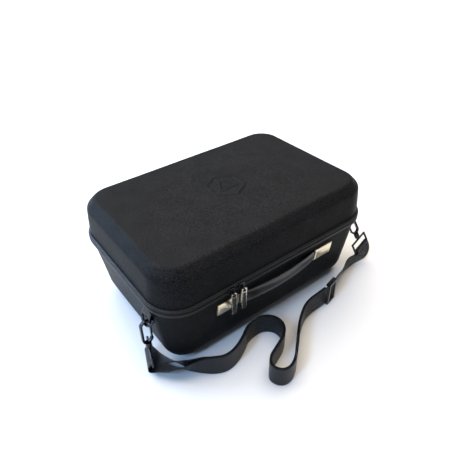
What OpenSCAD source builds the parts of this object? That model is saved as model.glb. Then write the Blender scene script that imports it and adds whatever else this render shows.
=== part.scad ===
// Zipped carry case for tabletop miniatures: a moulded base and lid, a foam tray, a hand grip
// and a shoulder strap on snap hooks. Millimetres, +Z up, the front with the grip faces -Y.
// The origin is the middle of the base's underside.

/* [Case] */
// Length of the case at the zip seam
case_l = 380; // [370:2:390]
// Width of the case at the zip seam, front to back
case_w = 256; // [250:2:262]
// Height of the zip seam above the floor
seam_z = 122; // [119:1:125]
// Height of the closed case
case_h = 183; // [180:1:188]
// Corner radius at the seam, seen from above
corner_r = 46; // [46:1:50]
// Inward lean of the base wall, degrees
base_draft = 8.2; // [7:0.1:8.4]
// Inward lean of the lid wall, degrees
lid_draft = 3.5; // [2:0.1:5]
// Radius between the base wall and the underside
base_fillet = 31; // [28:1:32]
// Radius between the lid wall and the top
lid_fillet = 17; // [14:1:20]
// Thickness of the moulded wall with its cloth
wall_t = 4.5; // [4:0.1:5]

/* [Zip] */
// How far the zip binding stands out from the wall
flange_out = 3.5; // [3:0.1:4]
// Length of a zip pull below its pivot
pull_l = 33; // [30:1:34]

/* [Handle] */
// Distance from the middle of the case to the middle of an end plate
plate_x = 92; // [90:1:94]
// Height of the middle of the handle above the floor
handle_z = 90; // [88:1:92]
// Width of the hand grip
grip_w = 23; // [20:1:24]
// Distance from the wall to the inner face of the grip at its middle
grip_gap = 8; // [7.8:0.1:8.2]

/* [Strap] */
// Width of the webbing
strap_w = 35; // [34:0.5:37]
// Thickness of the webbing
strap_t = 1.6; // [1.4:0.1:1.8]
// Distance from the middle of the case's depth to a strap tab, towards the front
tab_y = 83; // [82:1:84]

/* [Hidden] */

half_l = case_l / 2;
half_w = case_w / 2;
rim_gap = 0.6;               // each shell stops this far from the seam plane
lining_t = 1.0;
lining_gap = 0.1;
hinge_y = half_w + flange_out + 1.1;
zip_front_y = -(half_w + flange_out);

// Points of an arc from angle a0 to a1 about (cx, cy)
function arc(cx, cy, r, a0, a1, n) =
    [for (i = [0:n]) let (a = a0 + (a1 - a0) * i / n) [cx + r * cos(a), cy + r * sin(a)]];

// Height of the front wall's face: distance of the base wall from the middle at height z
function base_wall(half, z) = half - (seam_z - z) * tan(base_draft);

// Section of a cup with its rim at height 0 and its floor at -h. x is measured from the
// corner's centre line. inset moves every face inwards, so that cups nest.
function cup(h, draft, fillet, t, inset) =
    let (f = fillet - inset, xc = corner_r - (h - fillet) * tan(draft) - fillet / cos(draft),
         zc = -h + fillet)
    concat(
        [[corner_r - inset / cos(draft), 0]],
        arc(xc, zc, f, -draft, -90, 12),
        [[0, zc - f], [0, zc - f + t]],
        arc(xc, zc, f - t, -90, -draft, 12),
        [[corner_r - (inset + t) / cos(draft), 0]]
    );

// Sweeps the 2-D child round the case's outline: four turned corners and four straight runs
module ring() {
    cx = half_l - corner_r;
    cy = half_w - corner_r;
    for (c = [[1, 1, 0], [-1, 1, 90], [-1, -1, 180], [1, -1, 270]])
        translate([c[0] * cx, c[1] * cy, 0])
            rotate([0, 0, c[2]])
                rotate_extrude(angle = 90, $fn = 96)
                    children();
    for (a = [0, 180])
        rotate([0, 0, a])
            translate([cx, cy, 0])
                rotate([90, 0, 0])
                    linear_extrude(2 * cy)
                        children();
    for (a = [90, 270])
        rotate([0, 0, a])
            translate([cy, cx, 0])
                rotate([90, 0, 0])
                    linear_extrude(2 * cx)
                        children();
}

// A closed cup: its swept section and the flat floor between the corners
module cup_solid(h, draft, fillet, t, inset) {
    ring()
        polygon(cup(h, draft, fillet, t, inset));
    translate([0, 0, -h + inset + t / 2])
        cube([2 * (half_l - corner_r), 2 * (half_w - corner_r), t], center = true);
}

// Places a child on the front wall at height z, with its back on the wall
module on_front(x, z) {
    translate([x, -base_wall(half_w, z), z])
        rotate([base_draft, 0, 0])
            children();
}

screw_x = 9;
module screw_holes(r) {
    for (s = [-1, 1], k = [-1, 1])
        on_front(s * plate_x + k * screw_x, handle_z)
            rotate([-90, 0, 0])
                translate([0, 0, -1])
                    cylinder(h = 9, r = r, $fn = 32);
}

module base_shell() {
    color("#1b1b1d")
        difference() {
            translate([0, 0, seam_z - rim_gap])
                cup_solid(seam_z - rim_gap, base_draft, base_fillet, wall_t, 0);
            screw_holes(2.1);
        }
}

module base_lining() {
    color("#2a2a2c")
        difference() {
            translate([0, 0, seam_z - rim_gap])
                cup_solid(seam_z - rim_gap, base_draft, base_fillet, lining_t,
                          wall_t + lining_gap);
            screw_holes(2.1);
        }
}

module lid_shell() {
    color("#1b1b1d")
        translate([0, 0, seam_z + rim_gap])
            mirror([0, 0, 1])
                cup_solid(case_h - seam_z - rim_gap, lid_draft, lid_fillet, wall_t, 0);
}

module lid_lining() {
    color("#2a2a2c")
        translate([0, 0, seam_z + rim_gap])
            mirror([0, 0, 1])
                cup_solid(case_h - seam_z - rim_gap, lid_draft, lid_fillet, lining_t,
                          wall_t + lining_gap);
}

// The bindings are the bands that cover the zip tape's edges, one on each shell
module base_binding() {
    color("#202124")
        ring()
            translate([corner_r, seam_z])
                polygon([[0.1, -1], [flange_out - 0.6, -1], [flange_out, -1.6],
                         [flange_out, -4.2], [flange_out - 0.7, -5.4], [0.9, -7.8],
                         [-0.9, -8.1]]);
}

module lid_binding() {
    color("#202124")
        ring()
            translate([corner_r, seam_z])
                polygon([[0.1, 1], [flange_out - 0.6, 1], [flange_out, 1.6],
                         [flange_out, 3.4], [flange_out - 0.7, 4.6], [flange_out - 1.8, 5],
                         [0, 5]]);
}

// Cuts away the stretch along the back, where the cloth hinge takes the zip's place
hinge_half = 122;
module front_and_sides() {
    difference() {
        children();
        translate([-hinge_half, half_w - 8, seam_z - 10])
            cube([2 * hinge_half, 20, 20]);
    }
}

module zip_ring(low, high, inner, outer) {
    front_and_sides()
        ring()
            translate([corner_r, seam_z])
                polygon([[inner, low], [outer, low], [outer, high], [inner, high]]);
}

module base_zip_tape() {
    color("#141416") zip_ring(-0.5, -0.1, -4, 1.1);
}

module base_zip_coil() {
    color("#0e0e10") zip_ring(-0.9, -0.06, 1.2, 2.9);
}

module lid_zip_tape() {
    color("#141416") zip_ring(0.1, 0.5, -4, 1.1);
}

module lid_zip_coil() {
    color("#0e0e10") zip_ring(0.06, 0.9, 1.2, 2.9);
}

module zip_end_stops() {
    color("#141416")
        for (s = [-1, 1])
            translate([s * (hinge_half - 3), half_w + 2, seam_z - 0.5])
                cube([5, 2, 0.8], center = true);
}

module base_hinge_leaf() {
    color("#161618")
        translate([0, hinge_y - 0.7, seam_z - 4])
            cube([2 * hinge_half - 4, 0.6, 7.4], center = true);
}

module lid_hinge_leaf() {
    color("#161618")
        translate([0, hinge_y - 0.7, seam_z + 3.2])
            cube([2 * hinge_half - 4, 0.6, 5.6], center = true);
}

// A hexagon outline round a triangle, pressed up out of the lid's cloth
emblem_r = 30;
emblem_line = 3;
module emblem_frame(r, sides, turn) {
    rotate([0, 0, turn])
        difference() {
            circle(r = r, $fn = sides);
            circle(r = r - emblem_line, $fn = sides);
        }
}

module lid_emblem() {
    color("#1b1b1d")
        translate([0, 0, case_h + 0.05]) {
            linear_extrude(0.8)
                emblem_frame(emblem_r, 6, 30);
            linear_extrude(0.8)
                emblem_frame(emblem_r * 0.62, 3, 90);
        }
}

/* Foam: the insert fills the inside up to the rim and holds the miniatures upright */
foam_fit = wall_t + lining_t + 0.9;
pad_z0 = wall_t + lining_t + 0.5;
pad_t = 20;
tray_z0 = pad_z0 + pad_t + 0.3;
tray_z1 = seam_z - 2;
tray_l = 336;
tray_w = 212;
pocket_cols = 4;
pocket_rows = 2;
pocket_depth = 80;
pocket_wall = 10;
// How far the recesses for the handle's nuts reach in from the seam's front
recess_y = 16;
pocket_l = (tray_l - pocket_wall * (pocket_cols + 1)) / pocket_cols;
pocket_w = (tray_w - pocket_wall * (pocket_rows + 1)) / pocket_rows;

// A block whose sides follow the case's outline. Each row is an inset from the seam's
// outline and a height, from the lowest to the highest.
module foam_block(rows) {
    low = rows[0][1];
    high = rows[len(rows) - 1][1];
    ring()
        polygon(concat([[0, low]], [for (p = rows) [corner_r - p[0], p[1]]], [[0, high]]));
    translate([0, 0, (low + high) / 2])
        cube([2 * (half_l - corner_r), 2 * (half_w - corner_r), high - low], center = true);
}

module base_pad() {
    color("#3a3a3d")
        foam_block([[corner_r - 2, pad_z0], [corner_r - 2, pad_z0 + pad_t]]);
}

module foam_tray() {
    color("#3a3a3d")
        difference() {
            foam_block([
                [foam_fit + (seam_z - tray_z0) * tan(base_draft), tray_z0],
                [foam_fit + (seam_z - tray_z1) * tan(base_draft), tray_z1]
            ]);
            for (i = [0:pocket_cols - 1], j = [0:pocket_rows - 1])
                translate([-tray_l / 2 + pocket_wall + i * (pocket_l + pocket_wall),
                           -tray_w / 2 + pocket_wall + j * (pocket_w + pocket_wall),
                           tray_z1 - pocket_depth])
                    cube([pocket_l, pocket_w, pocket_depth + 1]);
            for (s = [-1, 1])
                translate([s * plate_x - 20, -half_w, handle_z - 14])
                    cube([40, recess_y, seam_z]);
        }
}

foam_low = seam_z + 1.6;
bump_h = 12;
foam_top = case_h - wall_t - lining_t - 0.5;
foam_edge = foam_fit + (foam_top - 13 - seam_z) * tan(lid_draft);
module lid_foam() {
    color("#3a3a3d") {
        foam_block([
            [foam_fit + (foam_low + bump_h - seam_z) * tan(lid_draft), foam_low + bump_h],
            [foam_edge, foam_top - 13],
            [foam_edge + 11, foam_top]
        ]);
        for (i = [-4:4], j = [-2:2])
            translate([i * 34, j * 38, foam_low])
                cylinder(h = bump_h + 1, r1 = 7, r2 = 14, $fn = 32);
    }
}

/* Handle: a bowed grip whose tongues run under two bevelled metal end plates */
plate_l = 36;
plate_h = 22.5;
plate_t = 4.4;
tongue_t = 1.8;
grip_t = 2.6;
bow_half = plate_x - plate_l / 2 - 2;
// Radius of the bow from its chord and its rise
bow_rise = grip_gap - 1;
bow_r = (bow_half * bow_half + bow_rise * bow_rise) / (2 * bow_rise);
bow_angle = asin(bow_half / bow_r);

module grip_band(y0, t, w) {
    rotate([0, 0, 270 - bow_angle])
        rotate_extrude(angle = 2 * bow_angle, $fn = 720)
            translate([bow_r + y0, -w / 2])
                square([t, w]);
}

module handle_grip() {
    color("#151517")
        on_front(0, handle_z)
            translate([0, bow_r - grip_gap, 0])
                difference() {
                    grip_band(0, grip_t, grip_w);
                    grip_band(0.7, 1.2, grip_w - 6);
                }
}

// The stiff web inside the grip runs on as a flat tongue under each plate
module handle_core() {
    color("#101012")
        on_front(0, handle_z) {
            translate([0, bow_r - grip_gap, 0])
                grip_band(0.8, 1, grip_w - 6.4);
            for (s = [-1, 1])
                translate([s * (bow_half + 7.7), -2.4, 0])
                    cube([17.8, 0.9, grip_w - 6.8], center = true);
        }
}

module handle_plate(side) {
    color("#c9c3b2")
        on_front(side * plate_x, handle_z)
            difference() {
                hull() {
                    translate([0, -1.3, 0])
                        cube([plate_l, 2.4, plate_h], center = true);
                    translate([0, -plate_t + 0.3, 0])
                        cube([plate_l - 5, 0.6, plate_h - 5], center = true);
                }
                translate([-side * (plate_l / 2 - 8), -2.2, 0])
                    cube([18, tongue_t + 0.2, grip_w - 6], center = true);
                for (k = [-1, 1])
                    translate([k * screw_x, 0.1, 0])
                        rotate([90, 0, 0])
                            cylinder(h = k * side > 0 ? 3.2 : 1.2, r = 1.9, $fn = 32);
            }
}

module handle_screws() {
    color("#8d8f93")
        for (s = [-1, 1], k = [-1, 1])
            on_front(s * plate_x + k * screw_x, handle_z) {
                rotate([90, 0, 0])
                    translate([0, 0, -7.4])
                        cylinder(h = k * s > 0 ? 10.4 : 8.4, r = 1.8, $fn = 32);
                translate([0, 9.4, 0])
                    rotate([90, 0, 0])
                        cylinder(h = 2, r = 3.6, $fn = 32);
            }
}

module handle_backing() {
    color("#7c7e82")
        difference() {
            for (s = [-1, 1])
                on_front(s * plate_x, handle_z)
                    translate([0, wall_t + lining_t + 1.1, 0])
                        cube([plate_l - 4, 1.4, plate_h - 4], center = true);
            screw_holes(2.1);
        }
}

/* Zip sliders: an outer plate with a bridge that the pull's pin turns in */
slider_x = [-91, -74];
pivot_y = zip_front_y - 5.6;
pivot_z = seam_z - 4;
pin_r = 0.9;

module zip_slider(x) {
    color("#4a4c50")
        translate([x, 0, 0]) {
            difference() {
                union() {
                    translate([0, zip_front_y - 1.1, seam_z - 0.5])
                        cube([8, 1.6, 9.6], center = true);
                    translate([0, zip_front_y - 1.1, seam_z - 0.5])
                        rotate([90, 0, 0])
                            cylinder(h = 1.6, r = 5.4, $fn = 48, center = true);
                    translate([0, zip_front_y - 0.2, seam_z])
                        cube([7, 0.6, 1.2], center = true);
                    translate([0, pivot_y + 2, pivot_z])
                        cube([2.8, 4, 4], center = true);
                    translate([0, pivot_y, pivot_z])
                        rotate([0, 90, 0])
                            cylinder(h = 2.8, r = 2, $fn = 32, center = true);
                }
                translate([0, pivot_y, pivot_z])
                    rotate([0, 90, 0])
                        cylinder(h = 12, r = pin_r + 0.06, $fn = 32, center = true);
            }
        }
}

pull_w = 8.6;
pull_t = 2.2;
pull_bar = 1.7;
pull_y = pivot_y - 0.2;

module zip_pull(x) {
    color("#b9bbbd")
        translate([x, pull_y, pivot_z]) {
            for (k = [-1, 1])
                translate([k * (pull_w - pull_bar) / 2, 0, 0.6 - pull_l / 2])
                    cube([pull_bar, pull_t, pull_l + 1.2], center = true);
            translate([0, 0, -5])
                cube([pull_w, pull_t, 1.6], center = true);
            translate([0, 0.2, 0])
                rotate([0, 90, 0])
                    cylinder(h = pull_w, r = pin_r, $fn = 32, center = true);
        }
}

insert_top = 5.9;
tip_h = 3.2;
module zip_insert(x) {
    color("#0f0f11")
        translate([x, pull_y, pivot_z]) {
            translate([0, 0, -(insert_top + pull_l + 0.2) / 2])
                cube([pull_w - 2 * pull_bar - 0.1, pull_t + 0.3, pull_l + 0.2 - insert_top],
                     center = true);
            translate([0, 0, -pull_l - 0.1 - tip_h / 2])
                cube([pull_w - 1.2, pull_t + 0.3, tip_h], center = true);
        }
}

/* Strap tabs: a folded band on each short side that holds a D ring's straight bar */
tab_w = 20;
tab_z = 102;
bar_out = 4;
bar_drop = 3;
ring_wire = 1.9;
ring_r = 13;
ring_lean = 32;

module on_side(side) {
    scale([side, 1, 1])
        translate([base_wall(half_l, tab_z), -tab_y, tab_z])
            rotate([0, base_draft, 0])
                children();
}

module side_tab(side) {
    color("#17171a")
        on_side(side)
            rotate([90, 0, 0])
                translate([0, 0, -tab_w / 2])
                    linear_extrude(tab_w)
                        union() {
                            translate([0.1, -bar_drop])
                                square([1.5, 13.4]);
                            translate([bar_out, -bar_drop])
                                intersection() {
                                    difference() {
                                        circle(r = bar_out - 0.1, $fn = 64);
                                        circle(r = bar_out - 1.6, $fn = 64);
                                    }
                                    translate([-6, -6])
                                        square([12, 6.4]);
                                }
                            polygon([[2 * bar_out - 1.5, -bar_drop - 0.5],
                                     [2 * bar_out - 0.4, -bar_drop - 0.5], [3.1, 7],
                                     [3.1, 10.2], [1.2, 10.2], [1.2, 6.4]]);
                        }
}

// Middle of the D ring's straight bar, and of the wire at its lowest point
side_c = cos(base_draft);
side_s = sin(base_draft);
bar_x = base_wall(half_l, tab_z) + bar_out * side_c - bar_drop * side_s;
bar_z = tab_z - bar_out * side_s - bar_drop * side_c;
low_x = bar_x + ring_r * sin(ring_lean);
low_z = bar_z - ring_r * cos(ring_lean);

module d_ring(side) {
    color("#3c3e42")
        translate([side * bar_x, -tab_y, bar_z])
            rotate([0, -side * ring_lean, 0]) {
                rotate([90, 0, 0])
                    cylinder(h = 2 * ring_r, r = ring_wire, $fn = 32, center = true);
                rotate([0, 90, 0])
                    rotate([0, 0, -90])
                        rotate_extrude(angle = 180, $fn = 64)
                            translate([ring_r, 0])
                                circle(r = ring_wire, $fn = 32);
                for (s = [-1, 1])
                    translate([0, s * ring_r, 0])
                        sphere(r = ring_wire, $fn = 32);
            }
}

/* Snap hooks: modelled hanging down from the D ring's wire at their own origin */
hook_h = 43;
hook_w = 16.5;
hook_bar = 3.2;
hook_t = 4;
hook_top = ring_wire + 0.35 + hook_bar;
gate_x = -(hook_w - hook_bar) / 2;
gate_foot = hook_top - hook_h + 7;
gate_l = 21;
barrel_h = 10;
barrel_z = hook_top - hook_h;

module capsule(w, h, top) {
    translate([0, top - w / 2])
        circle(d = w, $fn = 64);
    translate([0, top - h + w / 2])
        circle(d = w, $fn = 64);
    translate([-w / 2, top - h + w / 2])
        square([w, h - w]);
}

// The hook's ring lies in the XZ plane. Its gate side is towards -X.
module hook_body() {
    color("#34363a")
        difference() {
            union() {
                rotate([90, 0, 0])
                    translate([0, 0, -hook_t / 2])
                        linear_extrude(hook_t)
                            difference() {
                                capsule(hook_w, hook_h, hook_top);
                                capsule(hook_w - 2 * hook_bar, hook_h - 2 * hook_bar,
                                        hook_top - hook_bar);
                            }
                translate([0, 0, barrel_z - barrel_h + 1])
                    cylinder(h = barrel_h, r = 4.4, $fn = 48);
            }
            translate([gate_x - 3, -3, gate_foot + 1])
                cube([4.7, 6, gate_l - 0.9]);
            translate([gate_x - 3, -1.05, gate_foot - 2.2])
                cube([5.6, 2.1, 5]);
            translate([0, 0, barrel_z - barrel_h])
                cylinder(h = barrel_h - 1.5, r = 1.66, $fn = 32);
            translate([0, 0, barrel_z - 4.6])
                cylinder(h = 3.2, r = 3.06, $fn = 32);
        }
    color("#34363a")
        translate([gate_x, 0, gate_foot])
            rotate([90, 0, 0])
                cylinder(h = hook_t, r = 0.8, $fn = 24, center = true);
}

module hook_gate() {
    color("#4a4c50")
        difference() {
            union() {
                translate([gate_x, 0, gate_foot + gate_l / 2 + 0.85])
                    cube([2.2, 3.4, gate_l - 2], center = true);
                translate([gate_x, 0, gate_foot + 1])
                    cube([2, 1.8, 2], center = true);
                translate([gate_x, 0, gate_foot])
                    rotate([90, 0, 0])
                        cylinder(h = 1.8, r = 1.5, $fn = 32, center = true);
            }
            translate([gate_x, 0, gate_foot])
                rotate([90, 0, 0])
                    cylinder(h = 4, r = 0.86, $fn = 24, center = true);
        }
}

loop_w = strap_w + 8;
loop_h = 19;
loop_wire = 1.8;
loop_top = barrel_z - barrel_h - 2.5;

// A closed rectangular loop on a headed stem that turns in the hook's barrel
module hook_loop() {
    color("#3c3e42") {
        for (z = [0, -(loop_h - 2 * loop_wire)])
            translate([0, 0, loop_top + z])
                rotate([0, 90, 0])
                    cylinder(h = loop_w - 2 * loop_wire, r = loop_wire, $fn = 32, center = true);
        for (s = [-1, 1]) {
            translate([s * (loop_w / 2 - loop_wire), 0, loop_top - loop_h + 2 * loop_wire])
                cylinder(h = loop_h - 2 * loop_wire, r = loop_wire, $fn = 32);
            for (z = [0, -(loop_h - 2 * loop_wire)])
                translate([s * (loop_w / 2 - loop_wire), 0, loop_top + z])
                    sphere(r = loop_wire, $fn = 32);
        }
        translate([0, 0, loop_top])
            cylinder(h = barrel_h - 1.6, r = 1.6, $fn = 32);
        translate([0, 0, barrel_z - 4.5])
            cylinder(h = 2.6, r = 3, $fn = 32);
    }
}

// The left hook hangs straight. The strap pulls the right one forwards, so it rides round
// its ring by right_swing and hangs right_out away from upright.
loop_yaw_left = 70;
loop_yaw_right = 20;
right_swing = 25;
right_out = 16;

module hang_left(yaw) {
    translate([-low_x, -tab_y, low_z])
        rotate([0, 0, yaw])
            children();
}

module hang_right(yaw) {
    translate([bar_x, -tab_y, bar_z])
        rotate([0, -ring_lean, 0])
            rotate([-right_swing, 0, 0])
                translate([0, 0, -ring_r])
                    rotate([0, ring_lean - right_out, 0])
                        rotate([0, 0, yaw])
                            children();
}

/* Webbing. Each row is a point on the middle line and the direction from the webbing's
   upper edge to its lower edge. */

// A row given by the height of the webbing's lower edge above the floor
function rest(x, y, low, dir) = [[x, y, low + abs(dir[2]) / norm(dir) * strap_w / 2], dir];

right_rows = [
    [[211.1, -113.9, 33.4], [0.967, 0.2, 0.158]],
    [[211.5, -116.3, 33.7], [0.967, 0.2, 0.158]],
    [[212.1, -117.9, 31.9], [0.967, 0.2, 0.158]],
    [[213.2, -119.5, 27.2], [0.967, 0.15, 0.12]],
    [[210.5, -121, 20.5], [1, -0.05, -0.1]],
    rest(203, -121.5, 7, [0.85, -0.1, -0.5]),
    rest(184, -120.5, 1.8, [0.62, 0.08, -0.78]),
    rest(164, -124, 0.8, [0.36, 0.22, -0.9]),
    rest(143, -131.5, 1, [0.18, 0.32, -0.93]),
    rest(123, -140, 1.9, [0.1, 0.18, -0.97]),
    rest(108, -148, 3.4, [0, 0, -1]),
    rest(94, -151.5, 3.4, [0, 0, -1]),
    rest(80, -153.5, 3.4, [0, 0, -1]),
    rest(64, -153.5, 1.4, [0, 0, -1])
];
floor_points = [
    [48, -154], [32, -158], [15, -167], [-2, -179], [-18, -193], [-33, -206],
    [-47, -217], [-60, -223], [-72, -222], [-80, -214], [-81, -203], [-72, -193],
    [-56, -186], [-39, -179], [-26, -169], [-21, -156], [-25, -143], [-36, -135],
    [-50, -134], [-65, -137], [-79, -145], [-93, -152], [-108, -156.5], [-123, -156],
    [-137, -149]
];
left_rows = [
    rest(-149, -140.5, 0.5, [0, 0.12, -0.99]),
    rest(-160, -133, 1.1, [0.03, 0.35, -0.94]),
    rest(-170, -125.5, 2, [0.15, 0.56, -0.82]),
    rest(-179.5, -116.5, 1.7, [0.2, 0.68, -0.7]),
    rest(-187, -106, 1.4, [0.33, 0.79, -0.52]),
    rest(-193, -93, 1.2, [0.41, 0.85, -0.33]),
    [[-198, -84, 4.4], [0.42, 0.9, -0.1]],
    [[-203, -81, 8.6], [0.38, 0.92, 0]],
    [[-203.6, -80.7, 16], [0.35, 0.94, 0]],
    [[-200.6, -81.9, 21.8], [0.342, 0.94, 0]],
    [[-199.6, -82.2, 24.3], [0.342, 0.94, 0]],
    [[-197.5, -83, 25.1], [0.342, 0.94, 0]]
];
return_rows = [
    [[-197.5, -83, 25.1], [0.342, 0.94, 0]],
    [[-195.4, -83.8, 24.3], [0.342, 0.94, 0]],
    [[-194.3, -84.1, 21.8], [0.342, 0.94, 0]],
    [[-191, -87, 17.6], [0.38, 0.89, -0.25]],
    [[-185.5, -94, 16.4], [0.3, 0.8, -0.52]],
    rest(-178, -105, 5, [0.2, 0.68, -0.7]),
    rest(-169, -117, 3, [0.12, 0.5, -0.85]),
    rest(-159.5, -127.5, 1.2, [0.05, 0.3, -0.95]),
    rest(-148, -137, 0.5, [0, 0.1, -0.99])
];
main_rows = concat(right_rows, [for (p = floor_points) rest(p[0], p[1], 0.4, [0, 0, -1])],
                   left_rows);

function unit(v) = v / norm(v);

// Direction of travel at row i
function along(rows, i) =
    unit(rows[min(i + 1, len(rows) - 1)][0] - rows[max(i - 1, 0)][0]);

// Face normal of the webbing at row i, square to its width and its travel
function face(rows, i) = unit(cross(along(rows, i), rows[i][1]));

// Four corners of the webbing's section at row i
function section(rows, i, w, t) =
    let (c = rows[i][0], n = face(rows, i) * t / 2, e = unit(rows[i][1]) * w / 2)
    [c - e - n, c + e - n, c + e + n, c - e + n];

module webbing(rows) {
    n = len(rows);
    points = [for (i = [0:n - 1], p = section(rows, i, strap_w, strap_t)) p];
    sides = [for (i = [0:n - 2], k = [0:3]) let (a = 4 * i + k, b = 4 * i + (k + 1) % 4)
             each [[a, a + 4, b], [b, a + 4, b + 4]]];
    last = 4 * (n - 1);
    polyhedron(points, concat(sides, [[0, 1, 2], [0, 2, 3]],
                              [[last, last + 2, last + 1], [last, last + 3, last + 2]]));
}

// A row of the layer that lies against row i, on the side towards the case
layer_gap = 2.6;
function layer(i, gap) = [main_rows[i][0] - face(main_rows, i) * gap, main_rows[i][1]];

// The second layer runs from the left loop back to the adjuster's bar
adjuster_row = 11;
shadow_rows = [for (i = [len(right_rows) + len(floor_points) - 1 : -1 : adjuster_row + 1])
               layer(i, layer_gap)];

// The right end goes over its loop and is sewn back on itself
tail_rows = [
    main_rows[0],
    [[210.9, -112.2, 31.4], [0.967, 0.2, 0.158]],
    [[211.5, -112.9, 27.4], [0.967, 0.15, 0.12]],
    layer(4, 2.3),
    layer(5, 2.3)
];

module strap_webbing() {
    color("#1a1a1d") webbing(main_rows);
}

module strap_return() {
    color("#1a1a1d") webbing(concat(return_rows, shadow_rows));
}

module strap_tail() {
    color("#1a1a1d") webbing(tail_rows);
}

/* Adjuster: a frame the webbing slides through, with the second layer sewn to its bar */
adj_h = strap_w + 6.6;
adj_l = 22;
adj_rail = 3;
adj_yaw = 14;

module at_adjuster() {
    translate(main_rows[adjuster_row][0])
        rotate([0, 0, adj_yaw])
            children();
}

module adjuster_frame() {
    color("#26272b")
        at_adjuster()
            difference() {
                union() {
                    for (s = [-1, 1])
                        translate([0, 0, s * (adj_h - adj_rail) / 2])
                            cube([adj_l, 7.4, adj_rail], center = true);
                    for (s = [-1, 1])
                        translate([s * (adj_l / 2 - 1.6), -2.7, 0])
                            cube([3.2, 2, adj_h - 1], center = true);
                }
                translate([0, 2.4, 0])
                    cylinder(h = adj_h - 1.6, r = 1.05, $fn = 24, center = true);
            }
}

module adjuster_bar() {
    color("#34363a")
        at_adjuster()
            translate([0, 2.4, 0])
                cylinder(h = adj_h - 1.8, r = 1, $fn = 24, center = true);
}

base_shell();
base_lining();
base_binding();
base_zip_tape();
base_zip_coil();
base_hinge_leaf();
zip_end_stops();
lid_shell();
lid_lining();
lid_binding();
lid_zip_tape();
lid_zip_coil();
lid_hinge_leaf();
lid_emblem();
lid_foam();
base_pad();
foam_tray();
handle_grip();
handle_core();
handle_plate(-1);  // handle_plate_left
handle_plate(1);  // handle_plate_right
handle_screws();
handle_backing();
zip_slider(slider_x[0]);  // zip_slider_left
zip_slider(slider_x[1]);  // zip_slider_right
zip_pull(slider_x[0]);  // zip_pull_left
zip_pull(slider_x[1]);  // zip_pull_right
zip_insert(slider_x[0]);  // zip_insert_left
zip_insert(slider_x[1]);  // zip_insert_right
side_tab(-1);  // side_tab_left
side_tab(1);  // side_tab_right
d_ring(-1);  // d_ring_left
d_ring(1);  // d_ring_right
hang_left(180) hook_body();  // hook_body_left
hang_right(0) hook_body();  // hook_body_right
hang_left(180) hook_gate();  // hook_gate_left
hang_right(0) hook_gate();  // hook_gate_right
hang_left(loop_yaw_left) hook_loop();  // hook_loop_left
hang_right(loop_yaw_right) hook_loop();  // hook_loop_right
strap_webbing();
strap_return();
strap_tail();
adjuster_frame();
adjuster_bar();
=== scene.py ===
"""Looks for a zipped, moulded carry case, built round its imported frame.

The case is put together as a maker would: cloth-covered shells, zip and bindings, the grip and
its end plates, strap hardware, webbing, and the foam inside. Sizes are in millimetres and the
meshes are made in metres, in the frame's own axes.
"""

import logging
import math
from dataclasses import dataclass
from enum import Enum
from typing import Any, Callable, Optional, Sequence

import bmesh
import bpy
from mathutils import Matrix, Vector, noise


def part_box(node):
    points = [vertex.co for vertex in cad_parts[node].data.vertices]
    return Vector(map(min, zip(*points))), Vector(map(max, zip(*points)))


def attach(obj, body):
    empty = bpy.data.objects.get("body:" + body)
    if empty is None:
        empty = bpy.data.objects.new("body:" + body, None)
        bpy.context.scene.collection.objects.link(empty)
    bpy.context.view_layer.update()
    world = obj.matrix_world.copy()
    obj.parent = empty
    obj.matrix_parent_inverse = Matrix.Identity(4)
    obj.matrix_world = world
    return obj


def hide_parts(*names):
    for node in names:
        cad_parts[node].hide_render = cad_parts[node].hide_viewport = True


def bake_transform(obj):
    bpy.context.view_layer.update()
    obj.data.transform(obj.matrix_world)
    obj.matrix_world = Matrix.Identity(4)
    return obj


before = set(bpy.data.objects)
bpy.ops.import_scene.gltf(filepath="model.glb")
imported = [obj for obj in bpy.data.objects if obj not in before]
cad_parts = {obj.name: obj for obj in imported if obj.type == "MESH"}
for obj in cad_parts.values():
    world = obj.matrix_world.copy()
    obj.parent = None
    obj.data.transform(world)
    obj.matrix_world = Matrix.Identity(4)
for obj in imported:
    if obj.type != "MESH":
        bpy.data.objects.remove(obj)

LOG = logging.getLogger("carry_case")
MM = 0.001
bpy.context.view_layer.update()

# The part of a noise pattern's range that is spread over its whole effect
FLECKS = (0.34, 0.66)
SMEARS = (0.3, 0.7)

# A part's edges: corners closer than this are one, faces flatter than this are merged,
# edges sharper than this stay sharp, and those sharper still are rounded
WELD_MM = 0.002
NODE_WELD_MM = 0.001
FLAT_WITHIN = math.radians(0.6)
SHARP_FROM = math.radians(38)
ROUND_FROM = math.radians(40)

# Steps across a rounded edge, and the width up to which it is a fine one
EDGE_STEPS = 3
FINE_EDGE_STEPS = 2
FINE_EDGE_MM = 0.3

# Width of the shoulder strap's webbing
WEBBING_MM = 35.0

# A middle point and a direction across, a stop on the way round the case, a wall's outline,
# and a rule that moves a point
Row = tuple[Vector, Vector]
Station = tuple[float, float, float, float, float]
Section = Sequence[tuple[float, float]]
Warp = Callable[[Vector], Vector]


# ---------------------------------------------------------------- finishes


def linear(code: str) -> tuple[float, float, float, float]:
    """Turns an sRGB hex code into a linear colour.

    Args:
        code: The colour, such as "#202124".

    Returns:
        Linear red, green and blue, and an alpha of 1.
    """
    parts = [int(code[i:i + 2], 16) / 255 for i in (1, 3, 5)]
    parts = [c / 12.92 if c <= 0.04045 else ((c + 0.055) / 1.055) ** 2.4 for c in parts]
    return parts[0], parts[1], parts[2], 1.0


def clamp(value: float) -> float:
    """Holds a number between 0 and 1."""
    return min(1.0, max(0.0, value))


def scale_for(size_mm: float) -> float:
    """A texture's scale for features of one size, on coordinates in metres."""
    return 1000 / size_mm


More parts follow.
